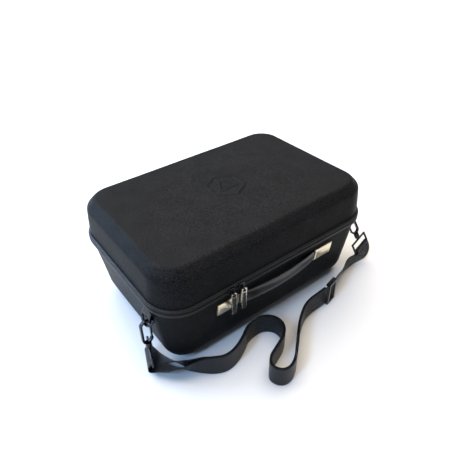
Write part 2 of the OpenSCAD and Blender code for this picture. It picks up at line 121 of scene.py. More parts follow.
def add(tree: bpy.types.NodeTree, kind: str, inputs: Optional[dict[Any, Any]] = None,
        **settings: Any) -> bpy.types.Node:
    """Adds a node with its settings and links.

    Args:
        tree: The node tree the node goes into.
        kind: The node's type name.
        inputs: Input name or number to a value, or to the socket that feeds it.
        **settings: The node's own properties.

    Returns:
        The new node.
    """
    made = tree.nodes.new(kind)
    for name, value in settings.items():
        setattr(made, name, value)
    for key, value in (inputs or {}).items():
        if isinstance(value, bpy.types.NodeSocket):
            tree.links.new(value, made.inputs[key])
        else:
            made.inputs[key].default_value = value
    return made


@dataclass(frozen=True)
class Finish:
    """A surface finish: what the real material is, and the numbers its shader starts from."""

    name: str
    dark: str
    light: str
    rough: float
    metal: float = 0.0
    specular: float = 0.5
    sheen: float = 0.0
    sheen_tint: str = "#ffffff"
    coat: float = 0.0
    mottle_mm: float = 30.0
    sheen_rough: float = 0.45
    coat_rough: float = 0.2

    def material(self) -> bpy.types.Material:
        """Makes this finish's material on its first use.

        Returns:
            The material.
        """
        found = bpy.data.materials.get(self.name)
        if found:
            return found
        made = bpy.data.materials.new(self.name)
        made.use_nodes = True
        tree = made.node_tree
        shader = tree.nodes["Principled BSDF"]
        shader.inputs["Metallic"].default_value = self.metal
        shader.inputs["Specular IOR Level"].default_value = self.specular
        shader.inputs["Sheen Weight"].default_value = self.sheen
        shader.inputs["Sheen Roughness"].default_value = self.sheen_rough
        shader.inputs["Sheen Tint"].default_value = linear(self.sheen_tint)
        shader.inputs["Coat Weight"].default_value = self.coat
        shader.inputs["Coat Roughness"].default_value = self.coat_rough
        shader.inputs["Roughness"].default_value = self.rough
        where = add(tree, "ShaderNodeTexCoord")
        self.colour(tree, shader, where)
        self.relief(tree, shader, where)
        return made

    def colour(self, tree: bpy.types.NodeTree, shader: bpy.types.Node,
               where: bpy.types.Node) -> None:
        """Mixes the dark and light tones in soft patches the size of mottle_mm.

        Args:
            tree: The material's node tree.
            shader: Its shader.
            where: Its texture coordinates.
        """
        patches = add(tree, "ShaderNodeTexNoise", {
            "Vector": where.outputs["Object"], "Scale": scale_for(self.mottle_mm),
            "Detail": 5.0, "Roughness": 0.6})
        tones = add(tree, "ShaderNodeMix", {
            0: patches.outputs[0], 6: linear(self.dark), 7: linear(self.light)},
            data_type="RGBA")
        tree.links.new(tones.outputs[2], shader.inputs["Base Color"])

    def relief(self, tree: bpy.types.NodeTree, shader: bpy.types.Node,
               where: bpy.types.Node) -> None:
        """Adds the finish's bump. The plain finish has none."""


@dataclass(frozen=True)
class Woven(Finish):
    """Cloth with threads both ways, laid out on the piece's own UV map in millimetres."""

    thread_mm: float = 1.0
    depth_mm: float = 0.12
    grain_mm: float = 1.7
    grain: float = 0.5
    weave_share: float = 0.35

    def colour(self, tree: bpy.types.NodeTree, shader: bpy.types.Node,
               where: bpy.types.Node) -> None:
        """Lays soft patches, with single lighter and darker threads over them.

        Args:
            tree: The material's node tree.
            shader: Its shader.
            where: Its texture coordinates.
        """
        patches = add(tree, "ShaderNodeTexNoise", {
            "Vector": where.outputs["Object"], "Scale": scale_for(self.mottle_mm), "Detail": 4.0})
        flecks = add(tree, "ShaderNodeTexNoise", {
            "Vector": where.outputs["Object"], "Scale": scale_for(self.grain_mm), "Detail": 2.0})
        spread = add(tree, "ShaderNodeMapRange", {
            "Value": flecks.outputs[0], "From Min": FLECKS[0], "From Max": FLECKS[1],
            "To Min": 0.5 - self.grain, "To Max": 0.5 + self.grain})
        both = add(tree, "ShaderNodeMath", {
            0: patches.outputs[0], 1: spread.outputs[0]}, operation="ADD")
        half = add(tree, "ShaderNodeMath", {0: both.outputs[0], 1: 0.5}, operation="MULTIPLY",
                   use_clamp=True)
        tones = add(tree, "ShaderNodeMix", {
            0: half.outputs[0], 6: linear(self.dark), 7: linear(self.light)},
            data_type="RGBA")
        tree.links.new(tones.outputs[2], shader.inputs["Base Color"])

    def relief(self, tree: bpy.types.NodeTree, shader: bpy.types.Node,
               where: bpy.types.Node) -> None:
        """Raises warp and weft threads that pass over each other.

        Args:
            tree: The material's node tree.
            shader: Its shader.
            where: Its texture coordinates.
        """
        turns = math.pi * 2 / self.thread_mm
        axes = add(tree, "ShaderNodeSeparateXYZ", {0: where.outputs["UV"]})
        waves = []
        for axis in (0, 1):
            phase = add(tree, "ShaderNodeMath", {0: axes.outputs[axis], 1: turns},
                        operation="MULTIPLY")
            waves.append(add(tree, "ShaderNodeMath", {0: phase.outputs[0]}, operation="SINE"))
        cross = add(tree, "ShaderNodeMath", {0: waves[0].outputs[0], 1: waves[1].outputs[0]},
                    operation="MULTIPLY")
        fuzz = add(tree, "ShaderNodeTexNoise", {
            "Vector": where.outputs["Object"], "Scale": scale_for(self.grain_mm), "Detail": 3.0})
        height = add(tree, "ShaderNodeMath", {
            0: cross.outputs[0], 1: self.weave_share, 2: fuzz.outputs[0]},
            operation="MULTIPLY_ADD")
        bump = add(tree, "ShaderNodeBump", {
            "Height": height.outputs[0], "Distance": self.depth_mm * MM, "Strength": 0.8})
        tree.links.new(bump.outputs[0], shader.inputs["Normal"])


@dataclass(frozen=True)
class Ribbed(Finish):
    """Webbing: weft ridges across the band and a few warp bands along it, on the UV map."""

    rib_mm: float = 2.6
    warp_mm: float = 1.1
    band_mm: float = 7.0
    slope: float = 0.3
    warp_share: float = 0.5
    depth_mm: float = 0.45

    def relief(self, tree: bpy.types.NodeTree, shader: bpy.types.Node,
               where: bpy.types.Node) -> None:
        """Raises ribs across the webbing that lean with each warp band, and threads along it.

        Args:
            tree: The material's node tree.
            shader: Its shader.
            where: Its texture coordinates.
        """
        axes = add(tree, "ShaderNodeSeparateXYZ", {0: where.outputs["UV"]})
        lean = add(tree, "ShaderNodeMath", {
            0: axes.outputs[0], 1: self.band_mm / 2}, operation="PINGPONG")
        slant = add(tree, "ShaderNodeMath", {
            0: lean.outputs[0], 1: self.slope, 2: axes.outputs[1]}, operation="MULTIPLY_ADD")
        threads = add(tree, "ShaderNodeMath", {
            0: axes.outputs[0], 1: math.pi * 2 / self.warp_mm}, operation="MULTIPLY")
        warp = add(tree, "ShaderNodeMath", {0: threads.outputs[0]}, operation="SINE")
        phase = add(tree, "ShaderNodeMath", {
            0: slant.outputs[0], 1: math.pi * 2 / self.rib_mm}, operation="MULTIPLY")
        ribs = add(tree, "ShaderNodeMath", {0: phase.outputs[0]}, operation="SINE")
        bands = add(tree, "ShaderNodeMath", {
            0: warp.outputs[0], 1: self.warp_share, 2: ribs.outputs[0]}, operation="MULTIPLY_ADD")
        bump = add(tree, "ShaderNodeBump", {
            "Height": bands.outputs[0], "Distance": self.depth_mm * MM, "Strength": 1.0})
        tree.links.new(bump.outputs[0], shader.inputs["Normal"])


@dataclass(frozen=True)
class Grained(Finish):
    """Leatherette, rubber or foam: cells or grain of one size, pressed or blown."""

    grain_mm: float = 0.9
    depth_mm: float = 0.08
    wear: float = 0.15
    worn_mm: float = 18.0

    def relief(self, tree: bpy.types.NodeTree, shader: bpy.types.Node,
               where: bpy.types.Node) -> None:
        """Presses rounded cells, and varies the roughness where hands have polished it.

        Args:
            tree: The material's node tree.
            shader: Its shader.
            where: Its texture coordinates.
        """
        cells = add(tree, "ShaderNodeTexVoronoi", {
            "Vector": where.outputs["Object"], "Scale": scale_for(self.grain_mm)},
            feature="SMOOTH_F1")
        bump = add(tree, "ShaderNodeBump", {
            "Height": cells.outputs["Distance"], "Distance": self.depth_mm * MM,
            "Strength": 0.6})
        tree.links.new(bump.outputs[0], shader.inputs["Normal"])
        worn = add(tree, "ShaderNodeTexNoise", {
            "Vector": where.outputs["Object"], "Scale": scale_for(self.worn_mm), "Detail": 4.0})
        rough = add(tree, "ShaderNodeMapRange", {
            "Value": worn.outputs[0], "From Min": SMEARS[0], "From Max": SMEARS[1],
            "To Min": max(0.05, self.rough - self.wear), "To Max": self.rough + self.wear})
        tree.links.new(rough.outputs[0], shader.inputs["Roughness"])


@dataclass(frozen=True)
class Plated(Finish):
    """Polished and plated metal, with faint polishing lines and thumb marks."""

    line_mm: float = 0.5
    line_long_mm: float = 50 / 3
    line_depth_mm: float = 0.01
    smear_mm: float = 9.0
    wear: float = 0.08

    def relief(self, tree: bpy.types.NodeTree, shader: bpy.types.Node,
               where: bpy.types.Node) -> None:
        """Varies the roughness in soft smears, and adds hairlines that hardly show.

        Args:
            tree: The material's node tree.
            shader: Its shader.
            where: Its texture coordinates.
        """
        smears = add(tree, "ShaderNodeTexNoise", {
            "Vector": where.outputs["Object"], "Scale": scale_for(self.smear_mm), "Detail": 6.0})
        rough = add(tree, "ShaderNodeMapRange", {
            "Value": smears.outputs[0], "From Min": SMEARS[0], "From Max": SMEARS[1],
            "To Min": max(0.03, self.rough - self.wear), "To Max": self.rough + self.wear})
        tree.links.new(rough.outputs[0], shader.inputs["Roughness"])
        stretch = add(tree, "ShaderNodeMapping", {
            "Vector": where.outputs["Object"],
            "Scale": (scale_for(self.line_long_mm), scale_for(self.line_mm),
                      scale_for(self.line_mm))})
        lines = add(tree, "ShaderNodeTexNoise", {
            "Vector": stretch.outputs[0], "Scale": 1.0, "Detail": 2.0})
        bump = add(tree, "ShaderNodeBump", {
            "Height": lines.outputs[0], "Distance": self.line_depth_mm * MM,
            "Strength": 0.3})
        tree.links.new(bump.outputs[0], shader.inputs["Normal"])


# Polyester knit bonded to moulded foam: deep matt black, with a faint cool bloom where light
# grazes it. Its stitches are drawn a little coarser than real ones, so that they show
CASE_CLOTH = Woven("polyester_knit_moulded", "#0a0a0a", "#242424", 0.38, specular=0.018,
                   sheen=0.012, sheen_tint="#8fb0d0", thread_mm=1.1, depth_mm=0.13,
                   grain_mm=1.5, grain=0.8)
# Brushed nylon tricot inside the shells, softer and a little lighter than outside
LINING = Woven("nylon_tricot_brushed", "#1c1c1e", "#29292c", 0.95, specular=0.2, sheen=0.12,
               thread_mm=0.8)
# Folded polyester binding over the zip's edges: smoother, so it draws a light line
BINDING = Woven("polyester_binding_folded", "#0c0c0d", "#161617", 0.42, specular=0.16,
                sheen=0.01, thread_mm=0.9, depth_mm=0.08)
# Twill tape that carries the zip's coil: matt, so the dark slit stays dark
ZIP_TAPE = Woven("polyester_twill_tape", "#0b0b0c", "#131314", 0.8, specular=0.3,
                 thread_mm=0.7)
# Nylon monofilament coil: small and glossy
ZIP_COIL = Finish("nylon_coil_extruded", "#101012", "#1a1a1c", 0.35)
# Bonded sewing thread: glossier than the cloth, so stitches read as raised dashes
THREAD = Finish("polyester_thread_bonded", "#141416", "#222224", 0.45, mottle_mm=3.0)
# PVC leatherette over a stiff strip: glossy black with a fine pressed grain
LEATHERETTE = Grained("pvc_leatherette_pressed", "#08080a", "#0e0e10", 0.34, coat=0.2,
                      grain_mm=1.1, depth_mm=0.03, wear=0.03)
# Extruded PVC piping, used at the grip's lower edge only. Its pale grey is a painted highlight
# that makes the thin light line along that edge; the upper edge's piping is the same part in
# black leatherette
PIPING_PAINTED_HIGHLIGHT = Grained("pvc_piping_painted_highlight", "#4c4a45", "#65625b", 0.36, grain_mm=2.0,
                 depth_mm=0.03, wear=0.1)
# Zinc casting polished and plated in warm nickel: bright, with soft smears
NICKEL = Plated("nickel_plated_zinc_polished", "#dccfb0", "#f3e9d0", 0.3, wear=0.03, metal=1.0)
# Pull frames in the same casting with a harder, cooler polish, so they flash white
BRIGHT_NICKEL = Plated("bright_nickel_plated_zinc", "#dedbd0", "#f5f2ea", 0.24, metal=1.0,
                       wear=0.04)
# The same castings in black nickel: a dark mirror with blue-white edges
BLACK_NICKEL = Plated("black_nickel_plated_zinc", "#26282c", "#3b3e44", 0.22, metal=1.0)
# Zinc-plated steel screws and backing plates: grey and half bright
STEEL = Plated("zinc_plated_steel", "#8b8d90", "#a3a5a8", 0.35, metal=1.0)
# Stove enamel on the strap's adjuster: black and glossy
ENAMEL = Grained("black_enamel_stoved", "#08090a", "#101113", 0.3, coat=0.3, grain_mm=3.0,
                 depth_mm=0.02, wear=0.1)
# Moulded silicone rubber on the zip pulls: a soft, even black
RUBBER = Grained("silicone_rubber_moulded", "#09090a", "#101011", 0.5, grain_mm=0.8,
                 depth_mm=0.05)
# Moulded nylon strip inside the grip: plain and half matt
GRIP_CORE = Grained("nylon_moulded", "#101012", "#1a1a1c", 0.5, grain_mm=1.5)
# Ribbed polyester webbing: near black and satin, so its bends carry soft highlights. The ribs
# are drawn coarser than real ones, so that they show
WEBBING = Ribbed("polyester_webbing_ribbed", "#020203", "#1a1a1c", 0.26, specular=0.27,
                 sheen=0.005, sheen_tint="#a9b8cc", mottle_mm=8.0)
# Open-cell polyurethane foam: dull, with its cells drawn a little large so that they show
FOAM = Grained("polyurethane_foam_open_cell", "#1d1d1f", "#313134", 0.96, specular=0.15,
               sheen=0.08, grain_mm=1.4, depth_mm=0.5, wear=0.03)
# Seamless paper under the case: pale and dull
FLOOR = Finish("paper_seamless_pale", "#c8c8c7", "#cccccb", 0.95, specular=0.1,
               mottle_mm=400.0)


# ---------------------------------------------------------------- mesh helpers


def make_mesh(name: str, points: Sequence[Sequence[float]], faces: Sequence[Sequence[int]],
              uv: Optional[Sequence[Sequence[tuple[float, float]]]] = None
              ) -> bpy.types.Object:
    """Makes a mesh object from millimetre points, welded, closed and facing outwards.

    Args:
        name: The object's name.
        points: Corner positions in millimetres.
        faces: Corner numbers of each face.
        uv: For each face, one UV pair per corner.

    Returns:
        The object, at the origin.
    """
    mesh = bpy.data.meshes.new(name)
    mesh.from_pydata([tuple(c * MM for c in p) for p in points], [], [list(f) for f in faces])
    if uv:
        layer = mesh.uv_layers.new(name="cloth")
        pairs = [pair for face in uv for pair in face]
        for loop, pair in zip(layer.data, pairs):
            loop.uv = pair
    made = bpy.data.objects.new(name, mesh)
    bpy.context.collection.objects.link(made)
    shape = bmesh.new()
    shape.from_mesh(mesh)
    bmesh.ops.remove_doubles(shape, verts=shape.verts, dist=WELD_MM * MM)
    bmesh.ops.recalc_face_normals(shape, faces=shape.faces)
    for face in shape.faces:
        face.smooth = True
    shape.to_mesh(mesh)
    shape.free()
    return made


def dress(piece: bpy.types.Object, finish: Finish) -> bpy.types.Object:
    """Gives a piece its finish and logs the finish's name.

    Args:
        piece: The piece.
        finish: Its finish.

    Returns:
        The same piece.
    """
    piece.data.materials.clear()
    piece.data.materials.append(finish.material())
    LOG.info("%s: %s", piece.name, finish.name)
    return piece


def skin(rows: int, around: int) -> list[list[int]]:
    """Lists the faces of a closed skin over rows of points, one face over each end.

    Args:
        rows: How many rows there are.
        around: How many points each row has.

    Returns:
        The corner numbers of each face.
    """
    faces = [[i * around + k, i * around + (k + 1) % around,
              (i + 1) * around + (k + 1) % around, (i + 1) * around + k]
             for i in range(rows - 1) for k in range(around)]
    return faces + [[i * around + k for k in range(around)] for i in (0, rows - 1)]


def refine(name: str, node: str, finish: Finish, body: str,
           bevel_mm: float) -> bpy.types.Object:
    """Rounds the edges of a hard part so that they catch the light.

    Args:
        name: The new piece's name.
        node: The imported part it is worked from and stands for.
        finish: Its finish.
        body: The body it rides on.
        bevel_mm: Width of the rounded edge.

    Returns:
        The new piece.
    """
    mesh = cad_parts[node].data.copy()
    mesh.name = name
    made = bpy.data.objects.new(name, mesh)
    bpy.context.collection.objects.link(made)
    shape = bmesh.new()
    shape.from_mesh(mesh)
    bmesh.ops.remove_doubles(shape, verts=shape.verts, dist=NODE_WELD_MM * MM)
    bmesh.ops.dissolve_limit(shape, angle_limit=FLAT_WITHIN, verts=shape.verts,
                             edges=shape.edges)
    for face in shape.faces:
        face.smooth = True
    shape.to_mesh(mesh)
    shape.free()
    mesh.set_sharp_from_angle(angle=SHARP_FROM)
    edge = made.modifiers.new("edge", "BEVEL")
    edge.width = bevel_mm * MM
    edge.segments = EDGE_STEPS if bevel_mm > FINE_EDGE_MM else FINE_EDGE_STEPS
    edge.limit_method = "ANGLE"
    edge.angle_limit = ROUND_FROM
    edge.use_clamp_overlap = True
    edge.harden_normals = True
    dress(made, finish)
    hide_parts(node)
    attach(made, body)
    return made


def flatten(piece: bpy.types.Object, name: str) -> bpy.types.Object:
    """Turns an object and its live modifiers into a plain mesh, and removes the first.

    Args:
        piece: The object whose evaluated shape is kept.
        name: The plain mesh's name.

    Returns:
        The plain mesh object.
    """
    graph = bpy.context.evaluated_depsgraph_get()
    mesh = bpy.data.meshes.new_from_object(piece.evaluated_get(graph))
    bpy.data.objects.remove(piece)
    mesh.name = name
    made = bpy.data.objects.new(name, mesh)
    bpy.context.collection.objects.link(made)
    return made


class Repeat(Enum):
    """What is set out along a line: a stitch, or a tooth of a coil."""

    STITCH = "stitch"
    TOOTH = "tooth"


@dataclass(frozen=True)
class EvenRow:
    """Small pieces set out evenly along lines, by Geometry Nodes."""

    kind: Repeat
    pitch_mm: float
    length_mm: float
    thick_mm: float
    finish: Finish
    sides: int = 6

    def tree(self) -> bpy.types.NodeTree:
        """Builds the node tree that sets the pieces out.

        Returns:
            The tree, with Pitch, Length and Thickness as its inputs.
        """
        made = bpy.data.node_groups.new(f"row_of_{self.kind.value}", "GeometryNodeTree")
        face = made.interface
        face.new_socket("Geometry", in_out="INPUT", socket_type="NodeSocketGeometry")
        for name in ("Pitch", "Length", "Thickness"):
            face.new_socket(name, in_out="INPUT", socket_type="NodeSocketFloat")
        face.new_socket("Geometry", in_out="OUTPUT", socket_type="NodeSocketGeometry")
        ask = add(made, "NodeGroupInput")
        points = add(made, "GeometryNodeResampleCurve", {
            "Curve": ask.outputs["Geometry"], "Length": ask.outputs["Pitch"]}, mode="LENGTH")
        along = add(made, "GeometryNodeInputTangent")
        turn = add(made, "FunctionNodeAlignRotationToVector", {
            "Vector": along.outputs[0]}, axis="X")
        upright = add(made, "FunctionNodeAlignRotationToVector", {
            "Rotation": turn.outputs[0], "Vector": (0.0, 0.0, 1.0)}, axis="Z", pivot_axis="X")
        size = add(made, "ShaderNodeCombineXYZ", {
            "X": ask.outputs["Length"], "Y": ask.outputs["Thickness"],
            "Z": ask.outputs["Thickness"]})
        if self.kind is Repeat.STITCH:
            unit = add(made, "GeometryNodeMeshUVSphere", {
                "Segments": self.sides, "Rings": 4, "Radius": 0.5})
        else:
            unit = add(made, "GeometryNodeMeshCylinder", {
                "Vertices": self.sides, "Radius": 0.5, "Depth": 1.0})
        placed = add(made, "GeometryNodeInstanceOnPoints", {
            "Points": points.outputs[0], "Instance": unit.outputs["Mesh"],
            "Rotation": upright.outputs[0], "Scale": size.outputs[0]})
        real = add(made, "GeometryNodeRealizeInstances", {0: placed.outputs[0]})
        smooth = add(made, "GeometryNodeSetShadeSmooth", {0: real.outputs[0]})
        paint = add(made, "GeometryNodeSetMaterial", {0: smooth.outputs[0]})
        paint.inputs["Material"].default_value = self.finish.material()
        add(made, "NodeGroupOutput", {0: paint.outputs[0]})
        return made

    def build(self, name: str, lines: Sequence[Sequence[Sequence[float]]], body: str,
              slot: str, closed: bool = False) -> bpy.types.Object:
        """Sets the pieces out along lines and turns them into one plain mesh.

        Args:
            name: The piece's name.
            lines: Each line's points, in millimetres.
            body: The body it rides on.
            slot: The record's material slot. It is not used.
            closed: Whether each line is a ring.

        Returns:
            The finished piece.
        """
        curve = bpy.data.curves.new(name + "_line", "CURVE")
        curve.dimensions = "3D"
        for line in lines:
            spline = curve.splines.new("POLY")
            spline.points.add(len(line) - 1)
            for point, place in zip(spline.points, line):
                point.co = (*(c * MM for c in place), 1.0)
            spline.use_cyclic_u = closed
        guide = bpy.data.objects.new(name + "_line", curve)
        bpy.context.collection.objects.link(guide)
        tree = self.tree()
        nodes = guide.modifiers.new("row", "NODES")
        nodes.node_group = tree
        wanted = {"Pitch": self.pitch_mm, "Length": self.length_mm,
                  "Thickness": self.thick_mm}
        for item in tree.interface.items_tree:
            if item.in_out == "INPUT" and item.name in wanted:
                nodes[item.identifier] = wanted[item.name] * MM
        made = flatten(guide, name)
        dress(made, self.finish)
        for face in made.data.polygons:
            face.material_index = 0
        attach(made, body)
        return made


STITCHES = EvenRow(Repeat.STITCH, pitch_mm=4.2, length_mm=3.3, thick_mm=0.7, finish=THREAD)
FINE_STITCHES = EvenRow(Repeat.STITCH, pitch_mm=2.6, length_mm=1.9, thick_mm=0.5,
                        finish=THREAD)
TEETH = EvenRow(Repeat.TOOTH, pitch_mm=1.7, length_mm=1.0, thick_mm=1.5, finish=ZIP_COIL)


# ---------------------------------------------------------------- the case


def box_mm(node: str) -> tuple[Vector, Vector]:
    """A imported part's lowest and highest corners, in millimetres."""
    low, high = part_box(node)
    return Vector(low) / MM, Vector(high) / MM


@dataclass(frozen=True)
class Plan:
    """The case seen from above at the seam: a rectangle with round corners."""

    half_l: float
    half_w: float
    seam: float
    top: float
    radius: float = 46.0
    base_draft: float = math.radians(8.2)
    lid_draft: float = math.radians(3.5)

    @classmethod
    def of_frame(cls) -> "Plan":
        """Reads the case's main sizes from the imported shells.

        Returns:
            The plan.
        """
        _, base = box_mm("base_shell")
        lid_low, lid = box_mm("lid_shell")
        return cls(half_l=base.x, half_w=base.y, seam=(base.z + lid_low.z) / 2, top=lid.z)

    @property
    def run_l(self) -> float:
        """Half the straight run along X."""
        return self.half_l - self.radius

    @property
    def run_w(self) -> float:
        """Half the straight run along Y."""
        return self.half_w - self.radius

    def base_wall(self, half: float, z: float) -> float:
        """Distance of the base's wall from the middle at height z."""
        return half - (self.seam - z) * math.tan(self.base_draft)

    def counts(self, pitch: float) -> tuple[int, int]:
        """How many steps of about pitch fit each straight run."""
        return max(2, round(2 * self.run_l / pitch)), max(2, round(2 * self.run_w / pitch))

    def stations(self, pitch: float, steps: int = 18) -> list[Station]:
        """Walks round the plan, anticlockwise from the right.

        Args:
            pitch: Step along the straight runs.
            steps: Steps round each corner.

        Returns:
            For each station, the point on the corners' centre line, the outward direction,
            and the distance walked along the seam.
        """
        n_l, n_w = self.counts(pitch)
        found = []
        walked = 0.0
        for corner in range(4):
            sx, sy = ((1, 1), (-1, 1), (-1, -1), (1, -1))[corner]
            for k in range(steps + 1):
                a = math.radians(90 * (corner + k / steps))
                found.append((sx * self.run_l, sy * self.run_w, math.cos(a), math.sin(a),
                              walked))
                if k < steps:
                    walked += self.radius * math.pi / 2 / steps
            count, length = ((n_l, 2 * self.run_l), (n_w, 2 * self.run_w))[corner % 2]
            a = math.radians(90 * (corner + 1))
            dx, dy = math.cos(a), math.sin(a)
            for k in range(1, count):
                walked += length / count
                found.append((sx * self.run_l - dy * length * k / count,
                              sy * self.run_w + dx * length * k / count, dx, dy, walked))
            walked += length / count
        return found

    def ring_line(self, out: float, z: float, pitch: float = 4.0) -> list[list[float]]:
        """Draws a closed line round the case.

        Args:
            out: Its distance out from the wall at the seam.
            z: Its height.
            pitch: Step along the straight runs.

        Returns:
            Its points in millimetres.
        """
        reach = self.radius + out
        return [[s[0] + s[2] * reach, s[1] + s[3] * reach, z]
                for s in self.stations(pitch)]


def arc(cx: float, cz: float, r: float, a0: float, a1: float, steps: int
        ) -> list[tuple[float, float]]:
    """Sets out an arc.

    Args:
        cx: Its centre, across.
        cz: Its centre, up.
        r: Its radius.
        a0: The angle it starts at, in degrees.
        a1: The angle it ends at, in degrees.
        steps: How many steps it has.

    Returns:
        Its points, both ends among them.
    """
    return [(cx + r * math.cos(math.radians(a0 + (a1 - a0) * i / steps)),
             cz + r * math.sin(math.radians(a0 + (a1 - a0) * i / steps)))
            for i in range(steps + 1)]


@dataclass
class Swept:
    """A solid swept round the plan, closed by flat panels or as a ring."""

    plan: Plan
    pitch: float = 4.0

    def build(self, name: str, section: Section, panels: Sequence[float],
              warp: Optional[Warp] = None) -> bpy.types.Object:
        """Sweeps a section and adds its panels.

        Args:
            name: The object's name.
            section: Distance from the corners' centre line and height. With no panels it is a
                closed loop. With two, it runs from the one panel's middle to the other's.
            panels: Heights of the two panels, or nothing.
            warp: Moves each finished point, in millimetres.

        Returns:
            The mesh object.
        """
        stations = self.plan.stations(self.pitch)
        rows = len(section)
        points: list[Sequence[float]] = []
        faces: list[list[int]] = []
        uv: list[list[tuple[float, float]]] = []
        walked = [0.0]
        for (r0, z0), (r1, z1) in zip(section, section[1:] + section[:1]):
            walked.append(walked[-1] + math.hypot(r1 - r0, z1 - z0))
        for sx, sy, dx, dy, _ in stations:
            points += [(sx + dx * r, sy + dy * r, z) for r, z in section]
        turn = stations[-1][4] + (stations[1][4] - stations[0][4])
        spans = rows if not panels else rows - 1
        for i, station in enumerate(stations):
            j = (i + 1) % len(stations)
            u0, u1 = station[4], (stations[j][4] if j else turn)
            for k in range(spans):
                m = (k + 1) % rows
                faces.append([i * rows + k, j * rows + k, j * rows + m, i * rows + m])
                uv.append([(u0, walked[k]), (u1, walked[k]), (u1, walked[k + 1]),
                           (u0, walked[k + 1])])
        for z in panels:
            self._panel(z, points, faces, uv)
        if warp:
            points = [warp(Vector(p)) for p in points]
        return make_mesh(name, points, faces, uv)

    def _panel(self, z: float, points: list[Sequence[float]], faces: list[list[int]],
               uv: list[list[tuple[float, float]]]) -> None:
        """Adds a grid that meets the straight runs' stations point for point.

        Args:
            z: The grid's height.
            points: The corners so far, which it adds to.
            faces: The faces so far, which it adds to.
            uv: The faces' UV pairs so far, which it adds to.
        """
        n_l, n_w = self.plan.counts(self.pitch)
        first = len(points)
        for j in range(n_w + 1):
            for i in range(n_l + 1):
                points.append((self.plan.run_l * (2 * i / n_l - 1),
                               self.plan.run_w * (2 * j / n_w - 1), z))
        for j in range(n_w):
            for i in range(n_l):
                a = first + j * (n_l + 1) + i
                corners = [a, a + 1, a + n_l + 2, a + n_l + 1]
                faces.append(corners)
                uv.append([(points[c][0], points[c][1]) for c in corners])


@dataclass(frozen=True)
class Emblem:
    """A low relief on the lid: a hexagon line round a triangle line."""

    radius: float = 30.0
    inner: float = 0.58
    line: float = 3.0
    rise: float = 1.5
    soft: float = 1.1
    margin: float = 8.0

    def _ring(self, count: int, radius: float, first: float) -> list[tuple[float, float]]:
        """The corners of an even polygon, from the angle of its first one, in degrees."""
        turns = [math.radians(first + 360 * k / count) for k in range(count)]
        return [(radius * math.cos(a), radius * math.sin(a)) for a in turns]

    def _bar(self, x: float, y: float, a: tuple[float, float], b: tuple[float, float]
             ) -> float:
        """Measures how far a point is from a straight line.

        Args:
            x: The point's place along the case.
            y: Its place across the case.
            a: The line's start.
            b: The line's end.

        Returns:
            The distance in millimetres.
        """
        vx, vy = b[0] - a[0], b[1] - a[1]
        t = clamp(((x - a[0]) * vx + (y - a[1]) * vy) / (vx * vx + vy * vy))
        return math.hypot(x - a[0] - vx * t, y - a[1] - vy * t)

    def height(self, x: float, y: float) -> float:
        """Works out how far the cloth stands up at one place.

        Args:
            x: The place along the case.
            y: The place across the case.

        Returns:
            The height in millimetres.
        """
        if math.hypot(x, y) > self.radius + self.margin:
            return 0.0
        rings = (self._ring(6, self.radius, 30), self._ring(3, self.radius * self.inner, 90))
        near = min(self._bar(x, y, a, b) for ring in rings
                   for a, b in zip(ring, ring[1:] + ring[:1]))
        t = clamp((near - self.line / 2) / self.soft)
        return self.rise * (1 - t * t * (3 - 2 * t))


